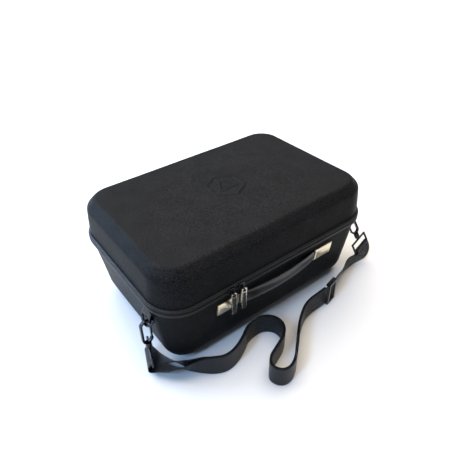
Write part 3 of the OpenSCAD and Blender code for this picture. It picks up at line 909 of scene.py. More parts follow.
@dataclass(frozen=True)
class Shells:
    """The moulded base and lid: cloth outside, and a lining inside."""

    plan: Plan
    wall: float = 4.5
    rim: float = 0.6
    base_round: float = 31.0
    base_levels: tuple[float, ...] = (36, 46, 58, 70, 82, 94, 106, 114)
    belly: float = 0.4
    lid_edge: float = 17.0
    lid_soft: float = 10.5
    lid_drops: tuple[float, ...] = (22, 30, 40, 50)
    crown: float = 1.2
    crown_half: tuple[float, float] = (172.0, 110.0)
    swell: float = 0.6
    swell_high: float = 46.0
    skin: float = 0.4
    seam_clear: float = 6.0
    belly_span: tuple[float, float] = (8.0, 114.0)
    belly_fade: float = 20.0
    corner_steps: int = 6
    inner_steps: int = 8
    round_steps: int = 14
    ripples: tuple[tuple[float, float], ...] = ((0.35, 0.018), (0.12, 0.06))
    lid_pitch: float = 1.7
    base_pitch: float = 4.0
    emblem: Emblem = Emblem()

    def _ripple(self, p: Vector) -> float:
        """The slow waviness that moulding leaves in the cloth, in millimetres."""
        return sum(high * noise.noise(p * rate) for high, rate in self.ripples)

    def _lid_warp(self, p: Vector) -> Vector:
        """Crowns the lid, raises the emblem and adds the cloth's waviness.

        Args:
            p: A point of the plain shell.

        Returns:
            Where it moves to.
        """
        x, y, z = p
        outside = z > self.plan.top - self.wall + self.skin
        if outside:
            half_x, half_y = self.crown_half
            edge = max(0.0, 1 - (x / half_x) ** 2) * max(0.0, 1 - (y / half_y) ** 2)
            z += self.crown * edge + self.emblem.height(x, y)
        rise = clamp((z - self.plan.seam) / self.swell_high)
        push = self.swell * math.sin(math.pi * rise) + self._ripple(p)
        flat = Vector((x, y, 0.0))
        clear = abs(z - self.plan.seam) > self.seam_clear
        if flat.length > 1 and clear and not outside:
            flat.normalize()
            x, y = x + flat.x * push, y + flat.y * push
        return Vector((x, y, z + (self._ripple(p) if outside else 0.0)))

    def _base_warp(self, p: Vector) -> Vector:
        """Gives the base's walls a slight belly and the cloth's waviness.

        Args:
            p: A point of the plain shell.

        Returns:
            Where it moves to.
        """
        x, y, z = p
        low, high = self.belly_span
        lift = clamp((z - low) / self.belly_fade) * clamp((high - z) / self.belly_fade)
        push = lift * (self.belly + self._ripple(p))
        flat = Vector((x, y, 0.0))
        if flat.length > 1:
            flat.normalize()
            x, y = x + flat.x * push, y + flat.y * push
        return Vector((x, y, z))

    def _lid_section(self) -> Section:
        """Draws the lid's wall, from its outside's middle round the rim to its inside's.

        Returns:
            The section.
        """
        plan, soft = self.plan, self.lid_soft
        top, low = plan.top, plan.seam + self.rim
        lean = math.degrees(plan.lid_draft)
        half = (90 - lean) / 2
        edge_r = plan.radius - (top - self.lid_edge - low) * math.tan(plan.lid_draft)
        corner = edge_r - self.lid_edge
        upper = arc(corner, top - soft, soft, 90, 90 - half, self.corner_steps)
        lower = arc(edge_r - soft, top - self.lid_edge, soft, 90 - half, lean,
                    self.corner_steps)
        inner = arc(corner - 1, top - self.lid_edge, self.lid_edge - self.wall, lean, 90,
                    self.inner_steps)
        wall = [(plan.radius - (z - low) * math.tan(plan.lid_draft), z)
                for z in [top - drop for drop in self.lid_drops] + [low + 4, low]]
        inside = [(r - self.wall, z) for r, z in reversed(wall)]
        return ([(0.0, top), (corner - 4, top)] + upper + lower + wall + inside + inner
                + [(0.0, top - self.wall)])

    def _base_section(self) -> Section:
        """Draws the base's wall, from its outside's middle round the rim to its inside's.

        Returns:
            The section.
        """
        plan, r = self.plan, self.base_round
        high = plan.seam - self.rim
        lean = math.degrees(plan.base_draft)
        cx = plan.radius - (high - r) * math.tan(plan.base_draft) - r / math.cos(
            plan.base_draft)
        outer = arc(cx, r, r, -90, -lean, self.round_steps)
        wall = [(plan.radius - (high - z) * math.tan(plan.base_draft), z)
                for z in (*self.base_levels, high)]
        inside = [(a - self.wall / math.cos(plan.base_draft), z) for a, z in reversed(wall)]
        inner = arc(cx, r, r - self.wall, -lean, -90, self.inner_steps)
        return [(0.0, 0.0)] + outer + wall + inside + inner + [(0.0, self.wall)]

    def build(self) -> None:
        """Builds both shells and dresses their linings."""
        lid = Swept(self.plan, self.lid_pitch).build(
            "lid_cloth", self._lid_section(), (self.plan.top, self.plan.top - self.wall),
            self._lid_warp)
        dress(lid, CASE_CLOTH)
        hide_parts("lid_shell", "lid_emblem")
        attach(lid, "lid")
        base = Swept(self.plan, self.base_pitch).build(
            "base_cloth", self._base_section(), (0.0, self.wall), self._base_warp)
        dress(base, CASE_CLOTH)
        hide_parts("base_shell")
        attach(base, "base")
        for node in ("base_lining", "lid_lining"):
            dress_node(node, LINING)


def dress_node(node: str, finish: Finish) -> None:
    """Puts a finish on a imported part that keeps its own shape.

    Args:
        node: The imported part.
        finish: Its finish.
    """
    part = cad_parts[node]
    if not part.data.materials:
        part.data.materials.append(None)
    for slot in part.material_slots:
        slot.link = "OBJECT"
        slot.material = finish.material()
    LOG.info("%s: %s", node, finish.name)


@dataclass(frozen=True)
class Zip:
    """The bindings, tapes and coils round the seam, the cloth hinge, sliders and pulls."""

    plan: Plan
    flange: float = 3.5
    lid_band: float = 4.9
    base_band: float = 7.9
    coil_out: float = 2.05
    hinge_half: float = 122.0
    hinge_low: float = 7.4
    hinge_high: float = 6.0
    hinge_rows: int = 15
    hinge_thick: float = 0.6
    hinge_bend: float = 1.5
    hinge_sewn: tuple[tuple[str, float], ...] = (("base", -6.2), ("lid", 4.9))
    hinge_sewn_half: int = 115
    band_pitch: float = 5.0

    def _binding(self, name: str, node: str, side: int, body: str) -> None:
        """Builds one folded band, rounded at its outer edge, and its stitches.

        Args:
            name: The band's name.
            node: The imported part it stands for.
            side: 1 above the seam, and -1 below it.
            body: The body it rides on.
        """
        r, seam, out = self.plan.radius, self.plan.seam, self.flange
        high = self.lid_band if side > 0 else self.base_band
        # The band's outline: out from the wall, and away from the seam
        loop = [(0.15, 1.0), (out - 1.0, 1.0)]
        loop += arc(out - 0.9, 1.9, 0.9, -85, 0, 4)
        loop += [(out, high * 0.5), (out - 0.25, high * 0.68), (out - 0.9, high * 0.86),
                 (out - 1.8, high * 0.96), (0.3, high)]
        if side > 0:
            loop += [(-0.2, high), (-0.15, 3.0)]
        else:
            loop += [(-0.75, high + 0.1), (-0.45, 5.0)]
        section = [(r + a, seam + side * b) for a, b in loop]
        band = Swept(self.plan, self.band_pitch).build(name, section, ())
        dress(band, BINDING)
        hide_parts(node)
        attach(band, body)
        line = self.plan.ring_line(out - 0.55, seam + side * high * 0.78, self.band_pitch)
        STITCHES.build(name + "_stitches", [line], body, "binding_cloth", closed=True)

    def _coil(self, name: str, node: str, side: int, body: str) -> None:
        """Sets out one coil's teeth, from one end of the hinge round to the other.

        Args:
            name: The coil's name.
            node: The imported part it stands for.
            side: 1 above the seam, and -1 below it.
            body: The body it rides on.
        """
        ring = self.plan.ring_line(self.coil_out, self.plan.seam + side * 0.5, 3.0)
        back = self.plan.half_w + 1.0
        start = next(i for i, p in enumerate(ring) if p[1] > back and p[0] < -self.hinge_half)
        end = next(i for i, p in enumerate(ring) if p[1] > back and p[0] < self.hinge_half)
        teeth = TEETH.build(name, [ring[start:] + ring[:end]], body, "zip_coil")
        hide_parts(node)

    def _hinge(self) -> None:
        """Builds the cloth strip that joins base and lid along the back, and its stitches."""
        seam = self.plan.seam
        y = self.plan.half_w + self.flange + 0.4
        reach, half = self.hinge_half - 2, self.hinge_thick / 2
        rows, span = self.hinge_rows, self.hinge_low + self.hinge_high
        long, rise = 2 * reach, 0.9
        points: list[Sequence[float]] = []
        faces, uv = [], []
        for j in range(rows):
            z = seam - self.hinge_low + j * span / (rows - 1)
            points += [(x, y + out, z) for x in (-reach, reach) for out in (-half, half)]
        for j in range(rows - 1):
            a, v = 4 * j, rise * j
            for k, m in ((0, 1), (1, 3), (3, 2), (2, 0)):
                faces.append([a + k, a + m, a + m + 4, a + k + 4])
                uv.append([(0.0, v), (long, v), (long, v + rise), (0.0, v + rise)])
        for a in (0, 4 * (rows - 1)):
            faces.append([a, a + 1, a + 3, a + 2])
            uv.append([(0.0, 0.0), (2 * half, 0.0), (2 * half, long), (0.0, long)])
        strip = make_mesh("cloth_hinge", points, faces, uv)
        dress(strip, BINDING)
        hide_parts("base_hinge_leaf", "lid_hinge_leaf")
        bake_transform(strip)
        for body, up in self.hinge_sewn:
            line = [(x, y + 0.45, seam + up)
                    for x in range(-self.hinge_sewn_half, self.hinge_sewn_half + 1, 5)]
            STITCHES.build(f"cloth_hinge_stitches_{body}", [line], body, "binding_cloth")

    def build(self) -> None:
        """Builds the zip from the tapes outwards."""
        self._binding("base_binding_band", "base_binding", -1, "base")
        self._binding("lid_binding_band", "lid_binding", 1, "lid")
        self._coil("base_coil", "base_zip_coil", -1, "base")
        self._coil("lid_coil", "lid_zip_coil", 1, "lid")
        self._hinge()
        for node in ("base_zip_tape", "lid_zip_tape"):
            dress_node(node, ZIP_TAPE)
        dress_node("zip_end_stops", ZIP_COIL)
        for side in ("left", "right"):
            for made, node, finish, slot, body, bevel in (
                    ("slider", "zip_slider", BLACK_NICKEL, "slider_metal", "slider", 0.5),
                    ("pull", "zip_pull", BRIGHT_NICKEL, "plate_nickel", "pull", 0.45),
                    ("pull_insert", "zip_insert", RUBBER, "pull_rubber", "pull", 0.5)):
                refine(f"{made}_{side}", f"{node}_{side}", finish, f"{body}_{side}",
                       bevel)


@dataclass(frozen=True)
class Grip:
    """The hand grip: a bowed padded strip, piped at its edges, between two metal plates."""

    plan: Plan
    height: float = 90.0
    width: float = 23.0
    gap: float = 8.0
    thick: float = 2.6
    overlap: float = 1.7
    taper: float = 7.0
    end_width: float = 0.74
    end_thick: float = 0.45
    swell: float = 0.3
    back_out: float = 0.15
    edge_out: float = 0.6
    crown: float = 0.62
    crown_power: float = 3.2
    piping_out: float = 1.5
    piping_r: float = 0.5
    steps: int = 96

    @property
    def half(self) -> float:
        """Half the length of the bow between the plates."""
        return box_mm("handle_plate_right")[0].x - 2

    def place(self, x: float, out: float, up: float) -> tuple[float, float, float]:
        """Turns a place on the leaning front wall into the frame's own axes.

        Args:
            x: Place along the case.
            out: Distance out from the wall.
            up: Distance up the wall from the grip's middle.

        Returns:
            The point, in millimetres.
        """
        lean = self.plan.base_draft
        wall = self.plan.base_wall(self.plan.half_w, self.height)
        return (x, -wall - out * math.cos(lean) - up * math.sin(lean),
                self.height - out * math.sin(lean) + up * math.cos(lean))

    def bow(self, x: float) -> float:
        """Works out the grip's bow, which is one arc from plate to plate.

        Args:
            x: Place along the case.

        Returns:
            The distance from the wall to the grip's inner face.
        """
        rise = self.gap - 1
        r = (self.half ** 2 + rise ** 2) / (2 * rise)
        return self.gap - (r - math.sqrt(max(0.0, r * r - x * x)))

    def _full(self, x: float) -> float:
        """How full the strip is at x: 0 at its ends, and 1 past its taper."""
        return clamp((self.half + self.overlap - abs(x)) / self.taper)

    def _taper(self, x: float, least: float) -> float:
        """A size's share at x, from the least at the strip's ends to 1."""
        return least + (1 - least) * self._full(x) ** 0.6

    def _outline(self) -> list[tuple[float, float, int]]:
        """Draws the strip's outline: flat behind, and crowned in front.

        Returns:
            For each point, its height, its distance out, and 1 on the front face.
        """
        half = self.width / 2
        found = []
        for k in range(17):
            s = -1 + 2 * k / 16
            found.append((s * half, self.back_out if abs(s) < 0.97 else self.edge_out, 0))
        for k in range(25):
            s = 1 - 2 * k / 24
            crown = self.crown * max(0.0, 1 - abs(s) ** self.crown_power) ** 0.5
            found.append((s * half, self.thick * (1 - self.crown + crown), 1))
        return found

    def _strip(self) -> bpy.types.Object:
        """Builds the padded strip, thinner and narrower at its ends.

        Returns:
            The strip.
        """
        steps, half = self.steps, self.width / 2
        around = self._outline()
        points: list[Sequence[float]] = []
        for i in range(steps + 1):
            x = (self.half + self.overlap) * (2 * i / steps - 1)
            full = self._full(x)
            pinch, ends = self._taper(x, self.end_width), self._taper(x, self.end_thick)
            inner = self.bow(min(abs(x), self.half)) + (1 - ends) * 0.5
            for up, out, face in around:
                swell = self.swell * full * face * (1 - (up / half) ** 2)
                points.append(self.place(x, inner + out * ends + swell, up * pinch))
        return make_mesh("grip_strip", points, skin(steps + 1, len(around)))

    def _edge_line(self, up: float, reach: float) -> list[tuple[float, float, float]]:
        """Draws the line of one edge's piping.

        Args:
            up: Its height up the wall from the grip's middle.
            reach: How far it runs to each side.

        Returns:
            Its points in millimetres.
        """
        steps = 80
        return [self.place(x, self.bow(min(abs(x), self.half)) + self.piping_out,
                           up * self._taper(x, self.end_width))
                for x in (reach * (2 * i / steps - 1) for i in range(steps + 1))]

    def build(self) -> None:
        """Builds the strip and its piping, and dresses the plates."""
        strip = self._strip()
        dress(strip, LEATHERETTE)
        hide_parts("handle_grip")
        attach(strip, "base")
        edge = self.width / 2 - 0.1
        # The lower piping's pale finish is a painted highlight; the upper piping is the same part
        # in black leatherette
        for name, up, finish in (("lower", -edge, PIPING_PAINTED_HIGHLIGHT), ("upper", edge, LEATHERETTE)):
            line = self._edge_line(up, self.half + 0.6)
            pipe = tube(f"grip_piping_{name}", line, self.piping_r)
            dress(pipe, finish)
            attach(pipe, "base")
        for side in ("left", "right"):
            refine(f"end_plate_{side}", f"handle_plate_{side}", NICKEL,
                   "base", bevel_mm=0.5)
        dress_node("handle_core", GRIP_CORE)
        dress_node("handle_screws", STEEL)
        dress_node("handle_backing", STEEL)


def tube(name: str, line: Sequence[Sequence[float]], radius: float, sides: int = 8
         ) -> bpy.types.Object:
    """Builds a round bar along a line.

    Args:
        name: The object's name.
        line: Points in millimetres.
        radius: The bar's radius in millimetres.
        sides: Faces round it.

    Returns:
        The closed mesh object.
    """
    path = [Vector(p) for p in line]
    points: list[Sequence[float]] = []
    up = Vector((0.0, 0.0, 1.0))
    for i, p in enumerate(path):
        way = (path[min(i + 1, len(path) - 1)] - path[max(i - 1, 0)]).normalized()
        across = way.cross(up).normalized()
        other = across.cross(way)
        for k in range(sides):
            a = 2 * math.pi * k / sides
            points.append(p + (across * math.cos(a) + other * math.sin(a)) * radius)
    return make_mesh(name, points, skin(len(path), sides))


# ---------------------------------------------------------------- the strap


def rest(x: float, y: float, low: float, ex: float, ey: float, ez: float) -> Row:
    """Makes a row of the strap's route, given by the height of its lower edge.

    Args:
        x: Place along the case.
        y: Place across it.
        low: Height of the webbing's lower edge.
        ex: First part of the direction from the upper edge to the lower one.
        ey: Second part of it.
        ez: Third part of it.

    Returns:
        The middle point and the direction across.
    """
    across = Vector((ex, ey, ez))
    return Vector((x, y, low + abs(ez) / across.length * WEBBING_MM / 2)), across


def spot(x: float, y: float, z: float, ex: float, ey: float, ez: float) -> Row:
    """A row of the strap's route, given by its middle point."""
    return Vector((x, y, z)), Vector((ex, ey, ez))


@dataclass(frozen=True)
class Band:
    """A flat band of webbing along rows of middle points and directions across it."""

    rows: list[Row]
    width: float = WEBBING_MM
    thick: float = 1.5
    selvedge: float = 0.35
    step: float = 2.2
    smooth: bool = True

    def line(self) -> list[Row]:
        """Sets out the route at even steps, smoothed through the rows.

        Returns:
            The middle point and the direction across at each step.
        """
        if not self.smooth:
            return [(p.copy(), e.normalized()) for p, e in self.rows]
        found: list[Row] = []
        last = len(self.rows) - 1
        for i in range(last):
            quad = [self.rows[min(max(k, 0), last)] for k in (i - 1, i, i + 1, i + 2)]
            gap = (quad[2][0] - quad[1][0]).length
            count = max(2, round(gap / self.step))
            for k in range(count):
                t = k / count
                found.append(tuple(self._blend([q[part] for q in quad], t)
                                   for part in (0, 1)))
        found.append(self.rows[last])
        return [(p, e.normalized()) for p, e in found]

    def _blend(self, quad: list[Vector], t: float) -> Vector:
        """Finds a point of the smooth curve through the two middle ones of four.

        Args:
            quad: The four values in a row.
            t: How far the point is from the second one to the third.

        Returns:
            The value there.
        """
        a, b, c, d = quad
        return 0.5 * (2 * b + (c - a) * t + (2 * a - 5 * b + 4 * c - d) * t * t
                      + (3 * b - a - 3 * c + d) * t ** 3)

    def face(self, route: list[Row], i: int) -> Vector:
        """The way the webbing's face looks at step i."""
        way = route[min(i + 1, len(route) - 1)][0] - route[max(i - 1, 0)][0]
        return way.cross(route[i][1]).normalized()

    def build(self, name: str) -> bpy.types.Object:
        """Builds the band, with rounded selvedges and its UV map in millimetres.

        Args:
            name: The object's name.

        Returns:
            The closed mesh object.
        """
        route = self.line()
        half, t, steps = self.width / 2, self.thick / 2, 10
        face = [self.selvedge + (self.width - 2 * self.selvedge) * k / steps
                for k in range(steps + 1)]
        across = [(-half, 0.0)] + [(a - half, -t) for a in face]
        across += [(half, 0.0)] + [(half - a, t) for a in face]
        points: list[Sequence[float]] = []
        walked = [0.0]
        for i, (p, e) in enumerate(route):
            look = self.face(route, i)
            points += [p + e * a + look * b for a, b in across]
            if i:
                walked.append(walked[-1] + (p - route[i - 1][0]).length)
        uv = [[(a, walked[i]), (b, walked[i]), (b, walked[i + 1]), (a, walked[i + 1])]
              for i in range(len(route) - 1)
              for (a, _), (b, _) in zip(across, across[1:] + across[:1])]
        return make_mesh(name, points, skin(len(route), len(across)),
                         uv + [across, across])

    def sewn_box(self, first: int, last: int, edge: float = 3.2) -> list[list[Vector]]:
        """The four lines of a sewn box on the band's outer face.

        Args:
            first: The row that the box starts at.
            last: The row that it ends at.
            edge: Its distance from the selvedges, in millimetres.

        Returns:
            The lines' points in millimetres.
        """
        route = self.line()
        steps = [max(2, round((b[0] - a[0]).length / self.step))
                 for a, b in zip(self.rows, self.rows[1:])]
        start, end = sum(steps[:first]), sum(steps[:last])
        half = self.width / 2 - edge

        def place(i: int, along: float) -> Vector:
            """A point on the outer face, so far from the band's middle."""
            return (route[i][0] + route[i][1] * along
                    + self.face(route, i) * (self.thick / 2 + 0.12))

        return ([[place(i, half * k / 8) for k in range(-8, 9)] for i in (start, end)]
                + [[place(i, side * half) for i in range(start, end + 1)]
                   for side in (-1, 1)])

    def length(self) -> float:
        """The band's length in millimetres."""
        route = self.line()
        return sum((b[0] - a[0]).length for a, b in zip(route, route[1:]))


# The strap's route, drawn from the right loop to the left one. A row is a place on it
# and the direction from the band's upper edge to its lower one. First, from the right loop's
# bar down to the floor and up on edge to the adjuster
RIGHT_END: list[Row] = [
    spot(211.1, -113.9, 33.4, 0.967, 0.2, 0.158),
    spot(211.5, -116.3, 33.7, 0.967, 0.2, 0.158),
    spot(212.1, -117.9, 31.9, 0.967, 0.2, 0.158),
    spot(213.2, -119.5, 27.2, 0.967, 0.15, 0.12),
    spot(210.5, -121, 20.5, 1, -0.05, -0.1),
    rest(203, -121.5, 7, 0.85, -0.1, -0.5),
    rest(184, -120.5, 1.8, 0.62, 0.08, -0.78),
    rest(164, -124, 0.8, 0.36, 0.22, -0.9),
    rest(143, -131.5, 1, 0.18, 0.32, -0.93),
    rest(123, -140, 1.9, 0.1, 0.18, -0.97),
    rest(108, -148, 3.4, 0, 0, -1),
    rest(94, -151.5, 3.4, 0, 0, -1),
    rest(80, -153.5, 3.4, 0, 0, -1),
    rest(64, -153.5, 1.4, 0, 0, -1),
]
# Where the band stands on its edge on the floor
ON_EDGE: list[tuple[float, float]] = [
    (48, -154), (32, -158), (15, -167), (-2, -179), (-18, -193), (-33, -206), (-47, -217),
    (-60, -223), (-72, -222), (-80, -214), (-81, -203), (-72, -193), (-56, -186),
    (-39, -179), (-26, -169), (-21, -156), (-25, -143), (-36, -135), (-50, -134),
    (-65, -137), (-79, -145), (-93, -152), (-108, -156.5), (-123, -156), (-137, -149),
]
# Where it leans over, rises and goes round the left loop's bar
LEFT_END: list[Row] = [
    rest(-149, -140.5, 0.5, 0, 0.12, -0.99),
    rest(-160, -133, 1.1, 0.03, 0.35, -0.94),
    rest(-170, -125.5, 2, 0.15, 0.56, -0.82),
    rest(-179.5, -116.5, 1.7, 0.2, 0.68, -0.7),
    rest(-187, -106, 1.4, 0.33, 0.79, -0.52),
    rest(-193, -93, 1.2, 0.41, 0.85, -0.33),
    spot(-198, -84, 4.4, 0.42, 0.9, -0.1),
    spot(-203, -81, 8.6, 0.38, 0.92, 0),
    spot(-203.6, -80.7, 16, 0.35, 0.94, 0),
    spot(-200.6, -81.9, 21.8, 0.342, 0.94, 0),
    spot(-199.6, -82.2, 24.3, 0.342, 0.94, 0),
    spot(-197.5, -83, 25.1, 0.342, 0.94, 0),
]
# The second layer, from the left loop's bar to where it lies against the first
RETURN_END: list[Row] = [
    spot(-197.5, -83, 25.1, 0.342, 0.94, 0),
    spot(-195.4, -83.8, 24.3, 0.342, 0.94, 0),
    spot(-194.3, -84.1, 21.8, 0.342, 0.94, 0),
    spot(-191, -87, 17.6, 0.38, 0.89, -0.25),
    spot(-185.5, -94, 16.4, 0.3, 0.8, -0.52),
    rest(-178, -105, 5, 0.2, 0.68, -0.7),
    rest(-169, -117, 3, 0.12, 0.5, -0.85),
    rest(-159.5, -127.5, 1.2, 0.05, 0.3, -0.95),
    rest(-148, -137, 0.5, 0, 0.1, -0.99),
]


@dataclass(frozen=True)
class Strap:
    """The shoulder strap: webbing from one hook to the other, doubled back to an adjuster."""

    lift: float = 0.4
    layer_gap: float = 2.6
    tail_gap: float = 2.3
    tail_rows: tuple[int, int] = (4, 5)
    sewn_rows: tuple[int, int] = (3, 5)
    adjuster_row: int = 11

    def main_rows(self) -> list[Row]:
        """The route from the right loop to the left one."""
        return RIGHT_END + [rest(x, y, self.lift, 0, 0, -1) for x, y in ON_EDGE] + LEFT_END

    def layer(self, rows: list[Row], i: int, gap: float) -> Row:
        """The row that lies against row i, on the side towards the case."""
        look = Band(rows).face(rows, i)
        return rows[i][0] - look * gap, rows[i][1]

    def build(self) -> None:
        rows = self.main_rows()
        first, last = self.adjuster_row + 1, len(RIGHT_END) + len(ON_EDGE) - 1
        doubled = RETURN_END + [self.layer(rows, i, self.layer_gap)
                                for i in range(last, first - 1, -1)]
        tail = [rows[0], spot(210.9, -112.2, 31.4, 0.967, 0.2, 0.158),
                spot(211.5, -112.9, 27.4, 0.967, 0.15, 0.12)]
        tail += [self.layer(rows, i, self.tail_gap) for i in self.tail_rows]
        end = Band(tail).build("strap_end_tail")
        dress(end, WEBBING)
        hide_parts("strap_tail")
        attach(end, "base")
        FINE_STITCHES.build("strap_end_stitches", Band(rows).sewn_box(*self.sewn_rows),
                            "base", "strap_webbing")
        for name, node, route, ends in (
                ("strap_band", "strap_webbing", rows,
                 ["hook_right", "hook_left", "strap_loop_right", "strap_loop_left",
                  "adjuster", "hook_gate_arm_left", "hook_gate_arm_right",
                  "strap_end_tail", "strap_end_stitches"]),
                ("strap_band_doubled", "strap_return", doubled, ["adjuster_crossbar"])):
            band = Band(route)
            made = band.build(name)
            dress(made, WEBBING)
            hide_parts(node)
            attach(made, "base")
            path = [p for p, _ in band.line()]
            band.length() * MM
            LOG.info("%s: %.0f mm long", name, band.length())


@dataclass(frozen=True)
class Hardware:
    """The side tabs, D rings, snap hooks, loops and adjuster."""

    plan: Plan
    tab_z: float = 102.0
    tab_width: float = 20.0
    tab_thick: float = 1.35
    tab_inner: Section = ((0.85, 10.2), (0.85, 4.0))
    tab_outer: Section = ((6.2, 0.0), (2.6, 6.2), (2.3, 7.4), (2.3, 10.2))
    bar_out: float = 4.0
    bar_drop: float = 3.0
    fold_r: float = 3.15
    sewn_out: float = 3.05
    sewn_up: tuple[float, ...] = (7.8, 9.6)
    sewn_half: float = 8.5

    def _tab(self, side: int, name: str) -> None:
        """Builds a folded band of webbing that holds one D ring's bar, with its stitches.

        Args:
            side: 1 on the right, and -1 on the left.
            name: The side's name.
        """
        lean = self.plan.base_draft
        wall = self.plan.base_wall(self.plan.half_l, self.tab_z)
        low, high = box_mm(f"side_tab_{name}")

        def place(out: float, up: float, along: float = 0.0) -> Vector:
            """Turns a place on the leaning side wall into the frame's own axes.

            Args:
                out: Distance out from the wall.
                up: Distance up the wall from the ring's bar.
                along: Distance along the wall from the tab's middle.

            Returns:
                The point, in millimetres.
            """
            return Vector((side * (wall + out * math.cos(lean) + up * math.sin(lean)),
                           (low.y + high.y) / 2 + along,
                           self.tab_z - out * math.sin(lean) + up * math.cos(lean)))

        across = Vector((0.0, 1.0, 0.0))
        fold = arc(self.bar_out, -self.bar_drop, self.fold_r, 180, 360, 12)
        rows = [(place(a, b), across) for a, b in (*self.tab_inner, *fold, *self.tab_outer)]
        band = Band(rows, width=self.tab_width, thick=self.tab_thick, smooth=False)
        made = band.build(f"side_tab_band_{name}")
        dress(made, WEBBING)
        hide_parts(f"side_tab_{name}")
        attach(made, "base")
        lines = [[place(self.sewn_out, up, y) for y in (-self.sewn_half, self.sewn_half)]
                 for up in self.sewn_up]
        FINE_STITCHES.build(f"side_tab_stitches_{name}", lines, "base", "tab_webbing")

    def build(self) -> None:
        """Builds the tabs and dresses every fitting."""
        for side, name in ((-1, "left"), (1, "right")):
            self._tab(side, name)
            for made, node, body, bevel in (
                    ("ring", "d_ring", f"ring_{name}", 0.1),
                    ("hook", "hook_body", "base", 0.8),
                    ("hook_gate_arm", "hook_gate", f"gate_{name}", 0.5),
                    ("strap_loop", "hook_loop", "base", 0.1)):
                refine(f"{made}_{name}", f"{node}_{name}", BLACK_NICKEL, body,
                       bevel)
        refine("adjuster", "adjuster_frame", ENAMEL, "base", bevel_mm=0.7)
        refine("adjuster_crossbar", "adjuster_bar", BLACK_NICKEL, "base",
               bevel_mm=0.2)


@dataclass(frozen=True)
class Foam:
    """The foam inside: a pad, a tray of pockets, and convoluted foam in the lid."""

    plan: Plan
    fit: float = 6.4
    low: float = 123.6
    bump: float = 12.0
    top: float = 177.0
    egg_half: tuple[float, float] = (170.0, 108.0)
    egg_pitch: tuple[float, float] = (17.0, 19.0)
    egg_fade: float = 12.0
    side_high: float = 42.0
    side_gap: float = 1.5
    shoulder_in: float = 12.5
    shoulder_high: float = 13.0
    lid_pitch: float = 3.4

    def _lid_warp(self, p: Vector) -> Vector:
        """Presses the egg-box pattern into the lid foam's underside.

        Args:
            p: A point of the plain block.

        Returns:
            Where it moves to.
        """
        if p.z > self.low + 0.5:
            return p
        (half_x, half_y), (pitch_x, pitch_y) = self.egg_half, self.egg_pitch
        edge = clamp((half_x - abs(p.x)) / self.egg_fade) * clamp(
            (half_y - abs(p.y)) / self.egg_fade)
        wave = 0.5 + 0.5 * math.cos(p.x * math.pi / pitch_x) * math.cos(
            p.y * math.pi / pitch_y)
        return Vector((p.x, p.y, self.low + self.bump * (1 - wave * edge)))

    def build(self) -> None:
        """Builds the lid's foam and rounds the tray and pad."""
        r, low, top = self.plan.radius - self.fit, self.low, self.top
        lean = self.side_high * math.tan(self.plan.lid_draft)
        section = [(0.0, low)] + [(r * k / 6 - 2, low) for k in range(1, 6)]
        section += [(r - 3, low), (r - 0.8, low + self.bump),
                    (r - self.side_gap - lean, top - self.shoulder_high),
                    (r - self.shoulder_in - lean, top), (0.0, top)]
        lid = Swept(self.plan, self.lid_pitch).build("lid_foam_convoluted", section,
                                                     (low, top), self._lid_warp)
        dress(lid, FOAM)
        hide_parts("lid_foam")
        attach(lid, "lid")
        for name, node in (("tray_foam", "foam_tray"), ("pad_foam", "base_pad")):
            made = refine(name, node, FOAM, "base", bevel_mm=1.6)


# ---------------------------------------------------------------- the studio


@dataclass(frozen=True)
class Window:
    """A soft light of one width and height that faces the case, in metres and watts."""

    name: str
    place: tuple[float, float, float]
    power: float
    size: tuple[float, float]
    tint: str
    aim: tuple[float, float, float] = (0.0, 0.0, 0.1)

    def build(self) -> None:
        """Hangs the light."""
        data = bpy.data.lights.new(self.name, "AREA")
        data.shape = "RECTANGLE"
        data.energy = self.power
        data.size, data.size_y = self.size
        data.color = linear(self.tint)[:3]
        lamp = bpy.data.objects.new(self.name, data)
        way = Vector(self.aim) - Vector(self.place)
        turn = way.to_track_quat("-Z", "Y").to_matrix().to_4x4()
        lamp.matrix_world = Matrix.Translation(self.place) @ turn
        bpy.context.collection.objects.link(lamp)


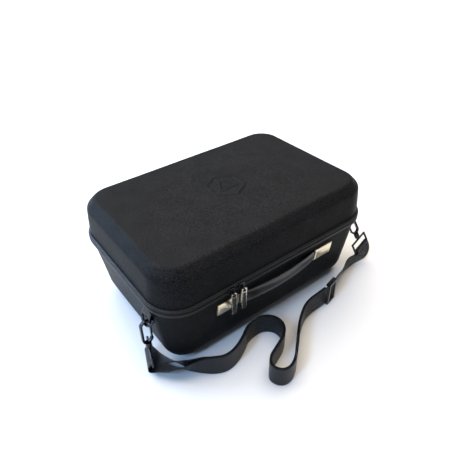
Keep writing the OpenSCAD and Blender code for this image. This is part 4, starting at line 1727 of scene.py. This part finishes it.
@dataclass(frozen=True)
class Studio:
    """The floor, lights and camera: places in metres, angles in degrees, and lens and paper
    in millimetres."""

    azimuth: float = -35.80
    elevation: float = 36.64
    roll: float = 1.706
    place: tuple[float, float, float] = (-0.3404, -0.4634, 0.5404)
    lens: float = 35.57
    shift: tuple[float, float] = (0.0046, -0.0041)
    paper_mm: float = 6000.0
    ceiling: float = 6.0
    ceiling_wide: float = 75.0
    ceiling_lean: tuple[float, float] = (-20.0, 9.0)
    fill: float = 0.24
    wall: float = 1.1
    windows: tuple[Window, ...] = (
        Window("window_high", (-0.95, 1.85, 1.25), 84.0, (1.9, 0.16), "#a9caf0"),
        Window("window_low", (-1.5, 1.8, 0.3), 36.0, (1.9, 0.16), "#a9caf0"),
        Window("window_side", (-1.5, -0.42, 1.45), 34.0, (0.26, 0.7), "#9cc2f0"))

    def _camera(self) -> None:
        """Sets the camera at the viewing angle that shows the grip and left side."""
        a, e, r = (math.radians(v) for v in (self.azimuth, self.elevation, self.roll))
        back = Vector((math.sin(a) * math.cos(e), -math.cos(a) * math.cos(e), math.sin(e)))
        right = Vector((math.cos(a), math.sin(a), 0.0))
        up = back.cross(right)
        right, up = (right * math.cos(r) - up * math.sin(r),
                     right * math.sin(r) + up * math.cos(r))
        data = bpy.data.cameras.new("camera")
        data.sensor_width = 36.0
        data.lens = self.lens
        data.shift_x, data.shift_y = self.shift
        data.clip_start = 0.01
        camera = bpy.data.objects.new("camera", data)
        turn = Matrix((right, up, back)).transposed().to_4x4()
        camera.matrix_world = Matrix.Translation(self.place) @ turn
        bpy.context.collection.objects.link(camera)
        bpy.context.scene.camera = camera

    def _ceiling(self) -> None:
        """Adds the broad light from above."""
        data = bpy.data.lights.new("ceiling", "SUN")
        data.energy, data.angle = self.ceiling, math.radians(self.ceiling_wide)
        data.color = linear("#fff4e8")[:3]
        lamp = bpy.data.objects.new("ceiling", data)
        lean_x, lean_y = self.ceiling_lean
        lamp.rotation_euler = (math.radians(lean_x), math.radians(lean_y), 0.0)
        bpy.context.collection.objects.link(lamp)

    def _walls(self) -> None:
        """Adds walls that light the case dimly and look as white as the paper."""
        world = bpy.data.worlds.new("studio")
        world.use_nodes = True
        tree = world.node_tree
        wall = tree.nodes["Background"]
        wall.inputs["Color"].default_value = linear("#f4f6f8")
        ray = add(tree, "ShaderNodeLightPath")
        strength = add(tree, "ShaderNodeMapRange", {
            "Value": ray.outputs["Is Camera Ray"], "To Min": self.fill, "To Max": self.wall})
        tree.links.new(strength.outputs[0], wall.inputs["Strength"])
        bpy.context.scene.world = world

    def build(self) -> None:
        """Sets up the paper, the lights and the camera."""
        far = self.paper_mm
        floor = make_mesh("floor", [(-far, -far, 0), (far, -far, 0), (far, far, 0),
                                    (-far, far, 0)], [[0, 1, 2, 3]])
        floor.data.materials.append(FLOOR.material())
        self._ceiling()
        self._walls()
        for window in self.windows:
            window.build()
        bpy.context.scene.view_settings.view_transform = "Standard"
        self._camera()


def main() -> None:
    """Builds every piece, in the order the case is put together."""
    logging.basicConfig(level=logging.INFO, format="%(name)s: %(message)s")
    plan = Plan.of_frame()
    makers = (Studio(), Hardware(plan), Strap(), Shells(plan), Zip(plan), Grip(plan),
              Foam(plan))
    for maker in makers:
        maker.build()
        LOG.info("%s is built", type(maker).__name__)


if __name__ == "__main__":
    main()
